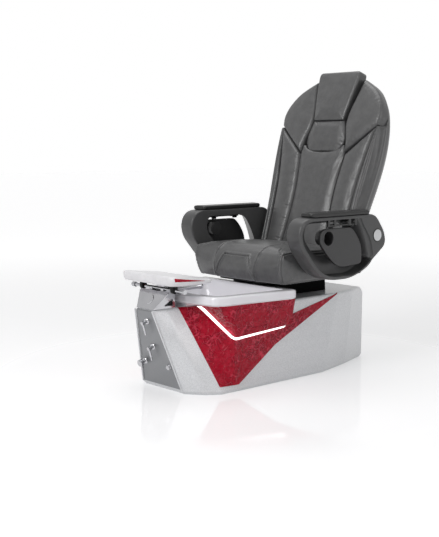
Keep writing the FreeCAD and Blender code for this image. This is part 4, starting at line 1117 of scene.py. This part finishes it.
    def section(self, height: float, inner: float, outer: float, second: float, rear: float,
                set_back: float) -> Array:
        """Half of one level section of the cover, from the pocket to the rear's middle.

        Args:
            height: height up the back.
            inner: half-width at the bolster's seam.
            outer: half-width of the cover.
            second: half-width at the second seam.
            rear: depth of the rear.
            set_back: how far the front edge stands behind the face.

        Returns:
            Points across, deep and up.
        """
        gather = pucker(np.array([height]), 17.0, 2.2)[0] * 1.1
        share = np.linspace(0.0, 1.0, 9)
        strip_x = np.linspace(inner + 0.5, second, 9)
        hump = np.sin(np.pi * share) ** 0.7
        strip_y = 7.0 - (9.0 + gather) * hump * min(1.0, (second - inner) / 20.0)
        bend = np.linspace(0.0, np.pi / 2, 13)
        turn_x, turn_y = outer - second, 34.0
        side_x = second + turn_x * np.sin(bend) ** 0.8
        side_y = 7.5 + turn_y * (1.0 - np.cos(bend)) - 6.0 * np.exp(-((bend - 0.35) / 0.25) ** 2)
        soft = min(rear - 16.0, outer) * 0.62
        wall_y = np.linspace(7.5 + turn_y, rear - soft, 8)[1:]
        wall_x = outer + 5.0 * np.sin(np.linspace(0.0, np.pi, 8))[1:]
        corner = np.linspace(0.0, np.pi / 2, 12)[1:]
        corner_x, corner_y = outer - soft * (1.0 - np.cos(corner)), rear - soft * (1.0 - np.sin(corner))
        rear_x = np.linspace(outer - soft, 0.0, 14)[1:]
        rear_y = rear + 4.0 * (1.0 - (rear_x / max(outer - soft, 1.0)) ** 2)
        x = np.concatenate([[0.0, inner, inner], strip_x, side_x[1:], wall_x, corner_x, rear_x])
        y = np.concatenate([[61.0, 61.0, 12.0], strip_y, side_y[1:], wall_y, corner_y, rear_y])
        y = np.where(y < self.pocket, y + (self.pocket - y) * (set_back / self.pocket), y)
        return np.stack([x, y, np.full(len(x), height)], -1)


# ---------------------------------------------------------------- seat


@dataclass
class Seat:
    """Seat cushion with a waterfall front, box-shaped ends, sewn channels and a seamed side panel.

    Two side views of it, one in the middle and one at its ends, have the same corners, and each ring across
    the cushion lies between them. The points of a seam are across the cushion and along its outline.
    """

    half: float = 313.0
    side_round: float = 15.0
    taper: float = 16.0
    crown: float = 9.0
    core: tuple = (160.0, 545.0)
    seam_depth: float = 4.6
    seam_width: float = 2.4
    swell: Swell = field(default_factory=lambda: Swell(cap=0.004))
    profile: tuple = ((338, 471), (-58, 471), (-79, 505), (-80, 548), (-66, 584), (-36, 611), (12, 629),
                      (110, 636), (250, 630), (378, 611))
    reach: tuple = (14, 16, 12, 14, 14, 14, 18, 30, 30, 22)
    end_profile: tuple = ((338, 471), (-32, 470), (-50, 505), (-62, 548), (-65, 586), (-55, 618), (-10, 624),
                          (110, 626), (250, 620), (378, 602))
    end_reach: tuple = (14, 12, 12, 14, 12, 12, 14, 30, 30, 20)
    counts: tuple = (18, 12, 12, 12, 14, 18, 18, 18, 12, 10)
    seams: tuple = (((-142, 18), (-126, 48), (-104, 88), (-85, 124), (-82, 127)), ((-86, 126), (86, 126)),
                    ((142, 18), (126, 48), (104, 88), (85, 124), (82, 127)),
                    ((-146, 10), (-143, 60), (-147, 120), (-150, 200), (-150, 330)),
                    ((146, 10), (143, 60), (147, 120), (150, 200), (150, 330)),
                    ((-296, 158), (-262, 176), (-236, 230)), ((296, 158), (262, 176), (236, 230)))

    def outline(self, corners: tuple, reach: tuple) -> Array:
        """Side view with the same number of points between each two corners.

        Args:
            corners: its corners, from the rear foot round the front to the rear top.
            reach: how far from each corner its rounding starts.

        Returns:
            Its points.
        """
        fine = 7
        line = corner_line(corners, reach, fine)
        closed = np.vstack([line, line[:fine]])
        middles = [index * fine + fine // 2 for index in range(len(corners) + 1)]
        parts = []
        for start, end, count in zip(middles, middles[1:], self.counts):
            parts.append(along(closed[start:end + 1], np.linspace(0.0, 1.0, count, endpoint=False)))
        return np.vstack(parts)

    def stations(self) -> tuple[Array, Array, Array]:
        """Places across the cushion, how far each one's ring is set in and how far it shrinks.

        Returns:
            Across values, insets and shrink shares, from the right side panel to the left one.
        """
        turn = np.linspace(0.0, np.pi / 2, 9)
        round_x = self.half - self.side_round * (1.0 - np.sin(turn))
        round_in = self.side_round * (1.0 - np.cos(turn))
        flat = np.concatenate([np.arange(0.0, 76.0, 8.5), np.arange(77.0, 156.0, 3.3),
                               np.arange(158.0, self.half - self.side_round - 3.0, 7.0)])
        panel = np.linspace(0.0, 1.0, 12)[1:-1]
        across = np.concatenate([flat, round_x, np.full(10, self.half) + 4.0 * np.sin(panel * np.pi / 2)])
        inset = np.concatenate([np.zeros(len(flat)), round_in, np.full(10, round_in[-1])])
        shrink = np.concatenate([np.zeros(len(flat) + 9), panel * 0.96])
        return (np.concatenate([-across[:0:-1], across]), np.concatenate([inset[:0:-1], inset]),
                np.concatenate([shrink[:0:-1], shrink]))

    def build(self) -> None:
        """Build, swell, sew and dress the cushion."""
        middle_line = self.outline(self.profile, self.reach)
        end_line = self.outline(self.end_profile, self.end_reach)
        step = np.linalg.norm(np.diff(middle_line, axis=0), axis=1)
        reach = np.concatenate([[0.0], np.cumsum(step)])
        reach -= reach[self.counts[0]]
        across, inset, shrink = self.stations()
        core = np.array(self.core)
        rings, marks = [], []
        for x, drawn, closing in zip(across, inset, shrink):
            wide = min(abs(x) / self.half, 1.0)
            share = wide**2.4
            points = middle_line * (1.0 - share) + end_line * share
            ahead = np.roll(points, -1, 0) - np.roll(points, 1, 0)
            normal = np.stack([-ahead[:, 1], ahead[:, 0]], -1)
            normal /= np.linalg.norm(normal, axis=1, keepdims=True)
            points = points + normal * drawn * np.sign(((core - points) * normal).sum())
            points = points + (core - points) * closing
            y, z = points[:, 0], points[:, 1]
            low = np.clip((578.0 - z) / 108.0, 0.0, 1.0)
            z = z + self.crown * (1.0 - wide**2.2) * np.clip((z - 560.0) / 60.0, 0.0, 1.0) * (1.0 - closing)
            rings.append(np.stack([x * (1.0 - low * self.taper / self.half), y, z], -1))
            edge = np.full(len(reach), drawn if closing < 0.01 else 60.0)
            marks.append(np.stack([np.full(len(reach), x), reach, edge], -1))
        cushion = tube("seat_cover", np.array(rings) * MM)
        points = np.array([vertex.co for vertex in cushion.data.vertices])
        self.swell.run(cushion, np.clip((0.485 - points[:, 2]) / 0.012, 0.0, 1.0))
        self.sew(cushion, np.array(marks))
        fitted(cushion, LEATHER, "seat", "seat_cushion")

    def sew(self, cushion: Piece, marks: Array) -> None:
        """Refine the cushion once and press its seams in along the normals, the leather gathered beside them.

        Args:
            cushion: the swollen cushion.
            marks: place across, place along the outline and distance set in of each point, in rings.
        """
        mesh = cushion.data
        flat = np.vstack([marks.reshape(-1, 3), [[400.0, 0.0, 60.0], [400.0, 0.0, 60.0]]])
        if len(mesh.vertices) != len(flat):
            raise ValueError("the seat cushion's points no longer match its seams")
        for axis, name in enumerate(("across", "reach", "edge")):
            layer = mesh.attributes.new(name, "FLOAT", "POINT")
            layer.data.foreach_set("value", flat[:, axis].astype(np.float32))
        subdivided(cushion)
        shown = cushion.evaluated_get(bpy.context.evaluated_depsgraph_get())
        fine = bpy.data.meshes.new_from_object(shown)
        cushion.modifiers.clear()
        cushion.data = fine
        place = np.zeros((3, len(fine.vertices)))
        for axis, name in enumerate(("across", "reach", "edge")):
            fine.attributes[name].data.foreach_get("value", place[axis])
            fine.attributes.remove(fine.attributes[name])
        spots = place[:2].T
        push = np.zeros(len(fine.vertices))
        for number, seam in enumerate(self.seams):
            gap, run = to_line(spots, softened(seam, 2) if len(seam) > 2 else np.array(seam, float))
            gap = np.where(place[2] < 50.0, gap, 99.0)
            push -= self.seam_depth * np.exp(-((gap / self.seam_width) ** 2))
            push += (2.2 + 0.9 * pucker(run, 17.0, number * 1.9)) * np.exp(-(((gap - 8.0) / 5.5) ** 2))
        side, bead = np.exp(-(((place[2] - 5.0) / 1.9) ** 2)), np.exp(-(((place[2] - 1.0) / 3.0) ** 2))
        near_end = np.abs(place[0]) > self.half - self.side_round * 1.6
        push -= 4.2 * side
        push += 1.4 * bead * near_end * (1.0 + 0.6 * pucker(place[1], 19.0, 0.8))
        points = np.array([vertex.co for vertex in fine.vertices])
        normals = np.array([vertex.normal for vertex in fine.vertices])
        fine.vertices.foreach_set("co", (points + normals * push[:, None] * MM).ravel())
        fine.update()


# ---------------------------------------------------------------- armrests


@dataclass
class ArmShell:
    """Moulded loop armrest: a rounded band, a recess for the tray, a window through its web and a rear cheek.

    Rays leave the centre in the side view. Along each one the surface goes over the band, across the rim and
    down into the recess, then over the window's slanted wall and back along the inner face.
    """

    inside: float = 336.0
    outside: float = 426.0
    web: float = 352.0
    shelf: float = 418.0
    slant: float = 44.0
    cheek: tuple = (-0.50, 0.68)
    centre: tuple = (215.0, 680.0)
    rays: int = 288
    band: tuple = ((-57, 790), (-60, 668), (95, 488), (352, 484), (565, 634), (560, 692), (484, 790))
    band_reach: tuple = (88, 52, 112, 104, 30, 40, 42)
    recess: tuple = ((-40, 774), (-43, 676), (101, 504), (344, 500), (432, 542), (466, 580), (448, 664),
                     (386, 744), (372, 774))
    recess_reach: tuple = (76, 44, 104, 60, 24, 24, 36, 16, 12)
    window: tuple = ((56, 757), (44, 686), (116, 604), (398, 600), (374, 660), (312, 757))
    window_reach: tuple = (36, 32, 36, 16, 60, 46)
    hub: tuple = (494.0, 684.0)
    hub_cup: tuple = ((0.1, -3.0), (31.0, -3.0), (32.6, -2.4), (33.0, 0.0), (32.4, 1.7), (31.0, 2.2),
                      (29.6, 1.9), (29.2, 0.8), (0.1, 0.8))
    hub_disc: tuple = ((0.1, 0.9), (28.0, 0.9), (28.6, 1.4), (28.6, 2.6), (27.6, 3.3), (14.0, 3.9),
                       (0.1, 4.1))

    def build(self) -> None:
        """Build both shells and their hub discs."""
        angles = np.linspace(-np.pi, np.pi, self.rays, endpoint=False)
        outer = reach_along(self.band, self.band_reach, self.centre, angles, 1400)
        lip = reach_along(self.recess, self.recess_reach, self.centre, angles, 1400)
        hole = reach_along(self.window, self.window_reach, self.centre, angles, 1400)
        start, end = self.cheek
        raised = eased(np.clip((angles - start) / 0.07, 0.0, 1.0) * np.clip((end - angles) / 0.07, 0.0, 1.0))
        floor = self.web + (self.shelf - self.web) * raised
        slanted = hole + self.slant * raised
        rows = []
        for bend in np.linspace(0.0, np.pi / 2, 5):
            rows.append((outer - 9.0 * (1.0 - np.sin(bend)), self.inside + 9.0 * (1.0 - np.cos(bend))))
        for share in (0.3, 0.5, 0.7):
            bulge = 1.6 * np.sin(np.pi * share)
            rows.append((outer + bulge, self.inside + 9.0 + (self.outside - self.inside - 21.0) * share))
        for bend in np.linspace(0.0, np.pi / 2, 6):
            rows.append((outer - 12.0 * (1.0 - np.cos(bend)), self.outside - 12.0 * (1.0 - np.sin(bend))))
        rows.append((lip + np.minimum((outer - lip) * 0.2, 5.0), self.outside))
        for bend in np.linspace(0.0, np.pi / 2, 4):
            rows.append((lip + 2.5 * (1.0 - np.sin(bend)), self.outside - 2.5 * (1.0 - np.cos(bend))))
        for share in (0.15, 0.5, 0.85):
            rows.append((lip - 2.0 * share, self.outside - 2.5 + (floor + 2.5 - self.outside) * share))
        for share in (0.02, 0.3, 0.65, 0.97):
            rows.append((lip - 4.0 + (slanted + 1.5 - lip + 4.0) * share, floor))
        rows += [(slanted, floor - 1.5), ((slanted + hole) / 2, (floor + self.inside) / 2),
                 (hole, self.inside + 1.5), (hole + 1.5, self.inside), ((hole + outer) / 2, self.inside)]
        faces = quads(len(rows) + 1, self.rays, around=True)
        for side, name in SIDES:
            rings = [upright_ring(side * x, far, self.centre, angles) for far, x in rows]
            shell = piece_of("arm_loop_" + name, np.array(rings + rings[:1]) * MM, faces)
            evened(shell)
            fitted(shell, CHARCOAL, "armrest_" + name, "armrest_shell_" + name)
            self.disc(side, name)

    def disc(self, side: int, name: str) -> None:
        """Bare silver hub disc in its dark cup, over the pivot.

        Args:
            side: 1 or -1.
            name: left or right.
        """
        turn = np.linspace(0.0, 2 * np.pi, 48, endpoint=False)
        for label, steps, finish, node in (("hub_cup", self.hub_cup, INNER, ""),
                                           ("hub_disc", self.hub_disc, SILVER_CAP, "pivot_cap_" + name)):
            rings = [upright_ring(side * (self.outside + deep), far, self.hub, turn) for far, deep in steps]
            piece = tube(f"{label}_{name}", np.array(rings) * MM)
            evened(piece)
            fitted(piece, finish, "armrest_" + name, node)


@dataclass
class CupTray:
    """Folding tray: a flat rounded panel with a raised ring and a blind well for a cup."""

    face: float = 421.0
    back: float = 405.0
    foot: float = 366.0
    cup: tuple = (139.0, 689.0)
    bore: float = 33.0
    plan: tuple = ((110, 734), (306, 733), (350, 690), (382, 634), (384, 552), (215, 545), (150, 592),
                   (80, 672), (86, 716))
    plan_reach: tuple = (24, 20, 30, 26, 24, 44, 40, 22, 22)
    hinge: tuple = (413.0, 748.0)
    barrel_starts: tuple = (150.0, 300.0)
    count: int = 144

    def build(self) -> None:
        """Build both trays with their hinge barrels."""
        turn = np.linspace(-np.pi, np.pi, self.count, endpoint=False)
        edge = reach_along(self.plan, self.plan_reach, self.cup, turn, 1200)
        bore, face, back, foot = self.bore, self.face, self.back, self.foot
        well = [(0.4, foot + 3.0), (bore - 4.0, foot + 3.0), (bore - 1.0, foot + 4.0), (bore, foot + 8.0),
                (bore, face - 8.0), (bore, face + 1.4), (bore + 1.2, face + 2.6), (bore + 4.6, face + 2.6),
                (bore + 6.0, face + 1.2), (bore + 6.4, face)]
        panel = [(edge - 7.0, face), (edge - 3.0, face - 0.2), (edge - 1.0, face - 1.0), (edge, face - 3.2),
                 (edge, back + 2.0), (edge - 2.0, back), (edge - 7.0, back)]
        under = [(bore + 4.0, back), (bore + 3.0, back - 2.0), (bore + 3.0, foot + 3.0), (bore + 1.0, foot),
                 (0.4, foot)]
        for side, name in SIDES:
            rings = [upright_ring(side * x, far, self.cup, turn) for far, x in well + panel + under]
            tray = tube("tray_panel_" + name, np.array(rings) * MM)
            evened(tray)
            fitted(tray, TRAY, "tray_" + name, "cup_tray_" + name)
            for number, start in enumerate(self.barrel_starts):
                self.barrel(side, f"tray_barrel_{name}_{number}", name, start)

    def barrel(self, side: int, label: str, name: str, start: float) -> None:
        """Hinge barrel with its short web, above the tray's top edge.

        Args:
            side: 1 or -1.
            label: the piece's name.
            name: left or right.
            start: front end of the barrel.
        """
        turn = np.linspace(0.0, 2 * np.pi, 20, endpoint=False)
        rings = []
        for y, far in ((start, 5.2), (start + 0.8, 6.6), (start + 25.2, 6.6), (start + 26.0, 5.2)):
            drop = np.where(np.sin(turn) < -0.4, 7.0, 0.0)
            rings.append(np.stack([side * (self.hinge[0] + far * np.cos(turn)), np.full(20, y),
                                   self.hinge[1] + far * np.sin(turn) - drop], -1))
        fitted(tube(label, np.array(rings) * MM), BLACK_STEEL, "tray_" + name)


@dataclass
class ArmPad:
    """Soft black pad on top of an armrest, crowned and rolled over at its edges."""

    inside: float = 336.0
    outside: float = 426.0
    front: float = 22.0
    rear: float = 438.0
    low: float = 790.4
    high: float = 811.0
    edge: float = 6.5
    crown: float = 2.2

    def build(self) -> None:
        """Build the pad of each armrest.

        The pad is a stack of level outlines. Each is set in along a half ellipse from foot to top, and the
        top is crowned across.
        """
        near, far = self.inside + 2, self.outside - 1
        plan = corner_line([(near, self.front + 8), (far, self.front), (far, self.rear), (near, self.rear)],
                           (10, 24, 9, 9))
        ring = even_ring(plan, 132)
        middle = ring.mean(0)
        turn = np.linspace(-np.pi / 2, np.pi / 2, 13)
        for side, name in SIDES:
            rings = []
            for angle in turn:
                inset = self.edge * (1.0 - np.cos(angle)) ** 1.2
                height = self.low + (self.high - self.low) * (0.5 + 0.5 * np.sin(angle))
                rings.append(self.drawn_in(ring, middle, inset, height))
            for share in (0.12, 0.3, 0.55, 0.8):
                flat = self.drawn_in(ring, middle, self.edge, self.high)
                flat[:, :2] += (np.array([middle[0], 0.0]) - flat[:, :2]) * np.array([share, 0.0])
                flat[:, 2] += self.crown * np.sin(share * np.pi / 2)
                rings.append(flat)
            stack = np.array(rings)
            stack[..., 0] *= side
            pad = tube("arm_cushion_" + name, stack * MM)
            subdivided(pad)
            fitted(pad, BLACK_PAD, "armrest_" + name, "arm_pad_" + name)

    @staticmethod
    def drawn_in(ring: Array, middle: Array, inset: float, height: float) -> Array:
        """A level outline set in towards its middle at a height."""
        span = np.abs(ring - middle).max(0)
        return np.column_stack([middle + (ring - middle) * (1.0 - inset / span), np.full(len(ring), height)])


# ---------------------------------------------------------------- footrest


@dataclass
class FootPad:
    """White wedge-shaped footrest pad with its red side wedges."""

    half: float = 193.0
    front: float = -618.0
    rear: float = -380.0
    low: float = 504.3
    front_thick: float = 45.0
    rear_thick: float = 18.0
    edge: float = 9.0
    crown: float = 3.0
    wedge_start: float = 16.0
    wedge_length: float = 168.0
    wedge_top: tuple = (542.0, 519.0)
    wedge_foot: tuple = (525.0, 517.5)

    def build(self) -> None:
        """Build the pad and the red wedges let into its sides."""
        plan = corner_line([(self.half, self.front), (self.half, self.rear), (-self.half, self.rear),
                            (-self.half, self.front)], (40, 22, 22, 40), fine=11)
        ring = even_ring(plan, 200)
        middle = np.array([0.0, (self.front + self.rear) / 2])
        rings = []
        for angle in np.linspace(-np.pi / 2, np.pi / 2, 15):
            inset = self.edge * (1.0 - np.cos(angle))
            rings.append(self.level(ring, middle, inset, 0.5 + 0.5 * np.sin(angle)))
        for share in (0.1, 0.25, 0.45, 0.7, 0.9):
            inner = self.level(ring, middle, self.edge, 1.0)
            inner[:, :2] += (middle - inner[:, :2]) * share
            inner[:, 2] = self.top(inner[:, 1]) + self.crown * np.sin(share * np.pi / 2)
            rings.append(inner)
        pad = tube("foot_cushion", np.array(rings) * MM)
        subdivided(pad)
        fitted(pad, WHITE_PAD, "footrest", "footrest_pad")
        for side, name in SIDES:
            self.wedge(side, name)

    def top(self, deep: Array) -> Array:
        """Height of the pad's top at a depth."""
        share = np.clip((deep - self.front) / (self.rear - self.front), 0.0, 1.0)
        return self.low + self.front_thick + (self.rear_thick - self.front_thick) * share

    def level(self, ring: Array, middle: Array, inset: float, share: float) -> Array:
        """Outline at a share of the pad's thickness, set in towards its middle.

        Args:
            ring: the outline.
            middle: its middle.
            inset: how far it is set in.
            share: 0 for the pad's foot and 1 for its top.

        Returns:
            The outline's points.
        """
        span = np.abs(ring - middle).max(0)
        plan = middle + (ring - middle) * (1.0 - inset / span)
        height = self.low + (self.top(plan[:, 1]) - self.low) * share
        return np.column_stack([plan, height])

    def wedge(self, side: int, name: str) -> None:
        """Thin red wedge on one side, from a blunt front end to a point at the rear.

        Args:
            side: 1 or -1.
            name: left or right.
        """
        deep = self.front + self.wedge_start + np.linspace(0.0, self.wedge_length, 24)
        top, foot = np.linspace(*self.wedge_top, 24), np.linspace(*self.wedge_foot, 24)
        rings = []
        for y, high, low in zip(deep, top, foot):
            mid, tall = (high + low) / 2, max(high - low, 1.2) / 2
            angle = np.linspace(0.0, 2 * np.pi, 12, endpoint=False)
            bulge = self.half - 1.5 - max(0.0, (self.front + 40.0 - y) / 40.0) ** 2 * 14.0
            rings.append(np.column_stack([bulge + 2.6 * np.cos(angle), np.full(12, y),
                                          mid + tall * np.sin(angle)]))
        stack = np.array(rings)
        stack[..., 0] *= side
        fitted(tube("foot_wedge_" + name, stack * MM), RED, "footrest")


# ---------------------------------------------------------------- beaded trims


@dataclass
class BeadTrim:
    """Twisted bead rope down each edge of the front panel."""

    pitch: float = 7.5
    radius: float = 4.2

    def build(self) -> None:
        """Replace the plain trim bars by ropes of slanted beads."""
        nodes = np.array([vertex.co for vertex in frame["nodes"]["panel_trims"].data.vertices]) / MM
        left = nodes[nodes[:, 0] > 0]
        foot = left[left[:, 2] < left[:, 2].min() + 12.0].mean(0)
        top = left[left[:, 2] > left[:, 2].max() - 12.0].mean(0)
        run = top - foot
        length = float(np.linalg.norm(run))
        axis = run / length
        out = np.cross(axis, np.array([0.0, 1.0, 0.0]))
        out = out / np.linalg.norm(out)
        away = np.cross(axis, out)
        count, around = int(length / self.pitch * 8), 14
        angle = np.linspace(0.0, 2 * np.pi, around, endpoint=False)
        for side, name in SIDES:
            rings = []
            for step in np.linspace(0.0, length, count):
                beat = 0.78 + 0.22 * np.abs(np.cos(np.pi * step / self.pitch + 0.5 * angle))
                edge = np.stack([np.cos(angle), np.sin(angle)], -1) * (self.radius * beat)[:, None]
                rings.append(foot + axis * step + edge[:, :1] * out + edge[:, 1:] * away)
            stack = np.array(rings)
            stack[..., 0] *= side
            rope = tube("panel_rope_" + name, stack * MM)
            fitted(rope, TRIM, "base", "panel_trims" if side > 0 else "")


# ---------------------------------------------------------------- carried-over solids


@dataclass
class SolidParts:
    """The solid model's own nodes, which keep their shape and get their finish and soft edges."""

    sharp_degrees: float = 32.0
    rounded: tuple = (("seat_pan", 0.002), ("pedestal", 0.002), ("console", 0.0012), ("valve_bodies", 0.001),
                      ("spout", 0.0008), ("footrest_bracket", 0.001), ("front_panel", 0.0015))

    def build(self) -> None:
        """Dress every node with the finish of its slot in the record."""
        for row in frame["record"]["subparts"]:
            node = frame["nodes"][row["node"]]
            FINISHES[row["material_slot"]].dress(node)
        for name in ("tray_pin_left", "tray_pin_right"):
            DARK_CHROME.dress(frame["nodes"][name])
        for name, width in self.rounded:
            self.soften(frame["nodes"][name], width)

    def soften(self, node: Piece, width: float) -> None:
        """Round a node's sharp edges by a live bevel.

        Args:
            node: the solid's object.
            width: width of the rounding.
        """
        weld = node.modifiers.new("weld", "WELD")
        weld.merge_threshold = 1e-5
        bevel = node.modifiers.new("bevel", "BEVEL")
        bevel.width, bevel.segments, bevel.limit_method = width, 2, "ANGLE"
        bevel.angle_limit = math.radians(self.sharp_degrees)


def main() -> None:
    """Build the studio and every sub-assembly in order."""
    logging.basicConfig(level=logging.INFO, format="%(name)s: %(message)s")
    for part in (Studio(), SolidParts(), Upholstery(), Seat(), ArmShell(), CupTray(), ArmPad(), FootPad(),
                 BeadTrim()):
        part.build()
        LOG.info("built %s", type(part).__name__)


if __name__ == "__main__":
    main()
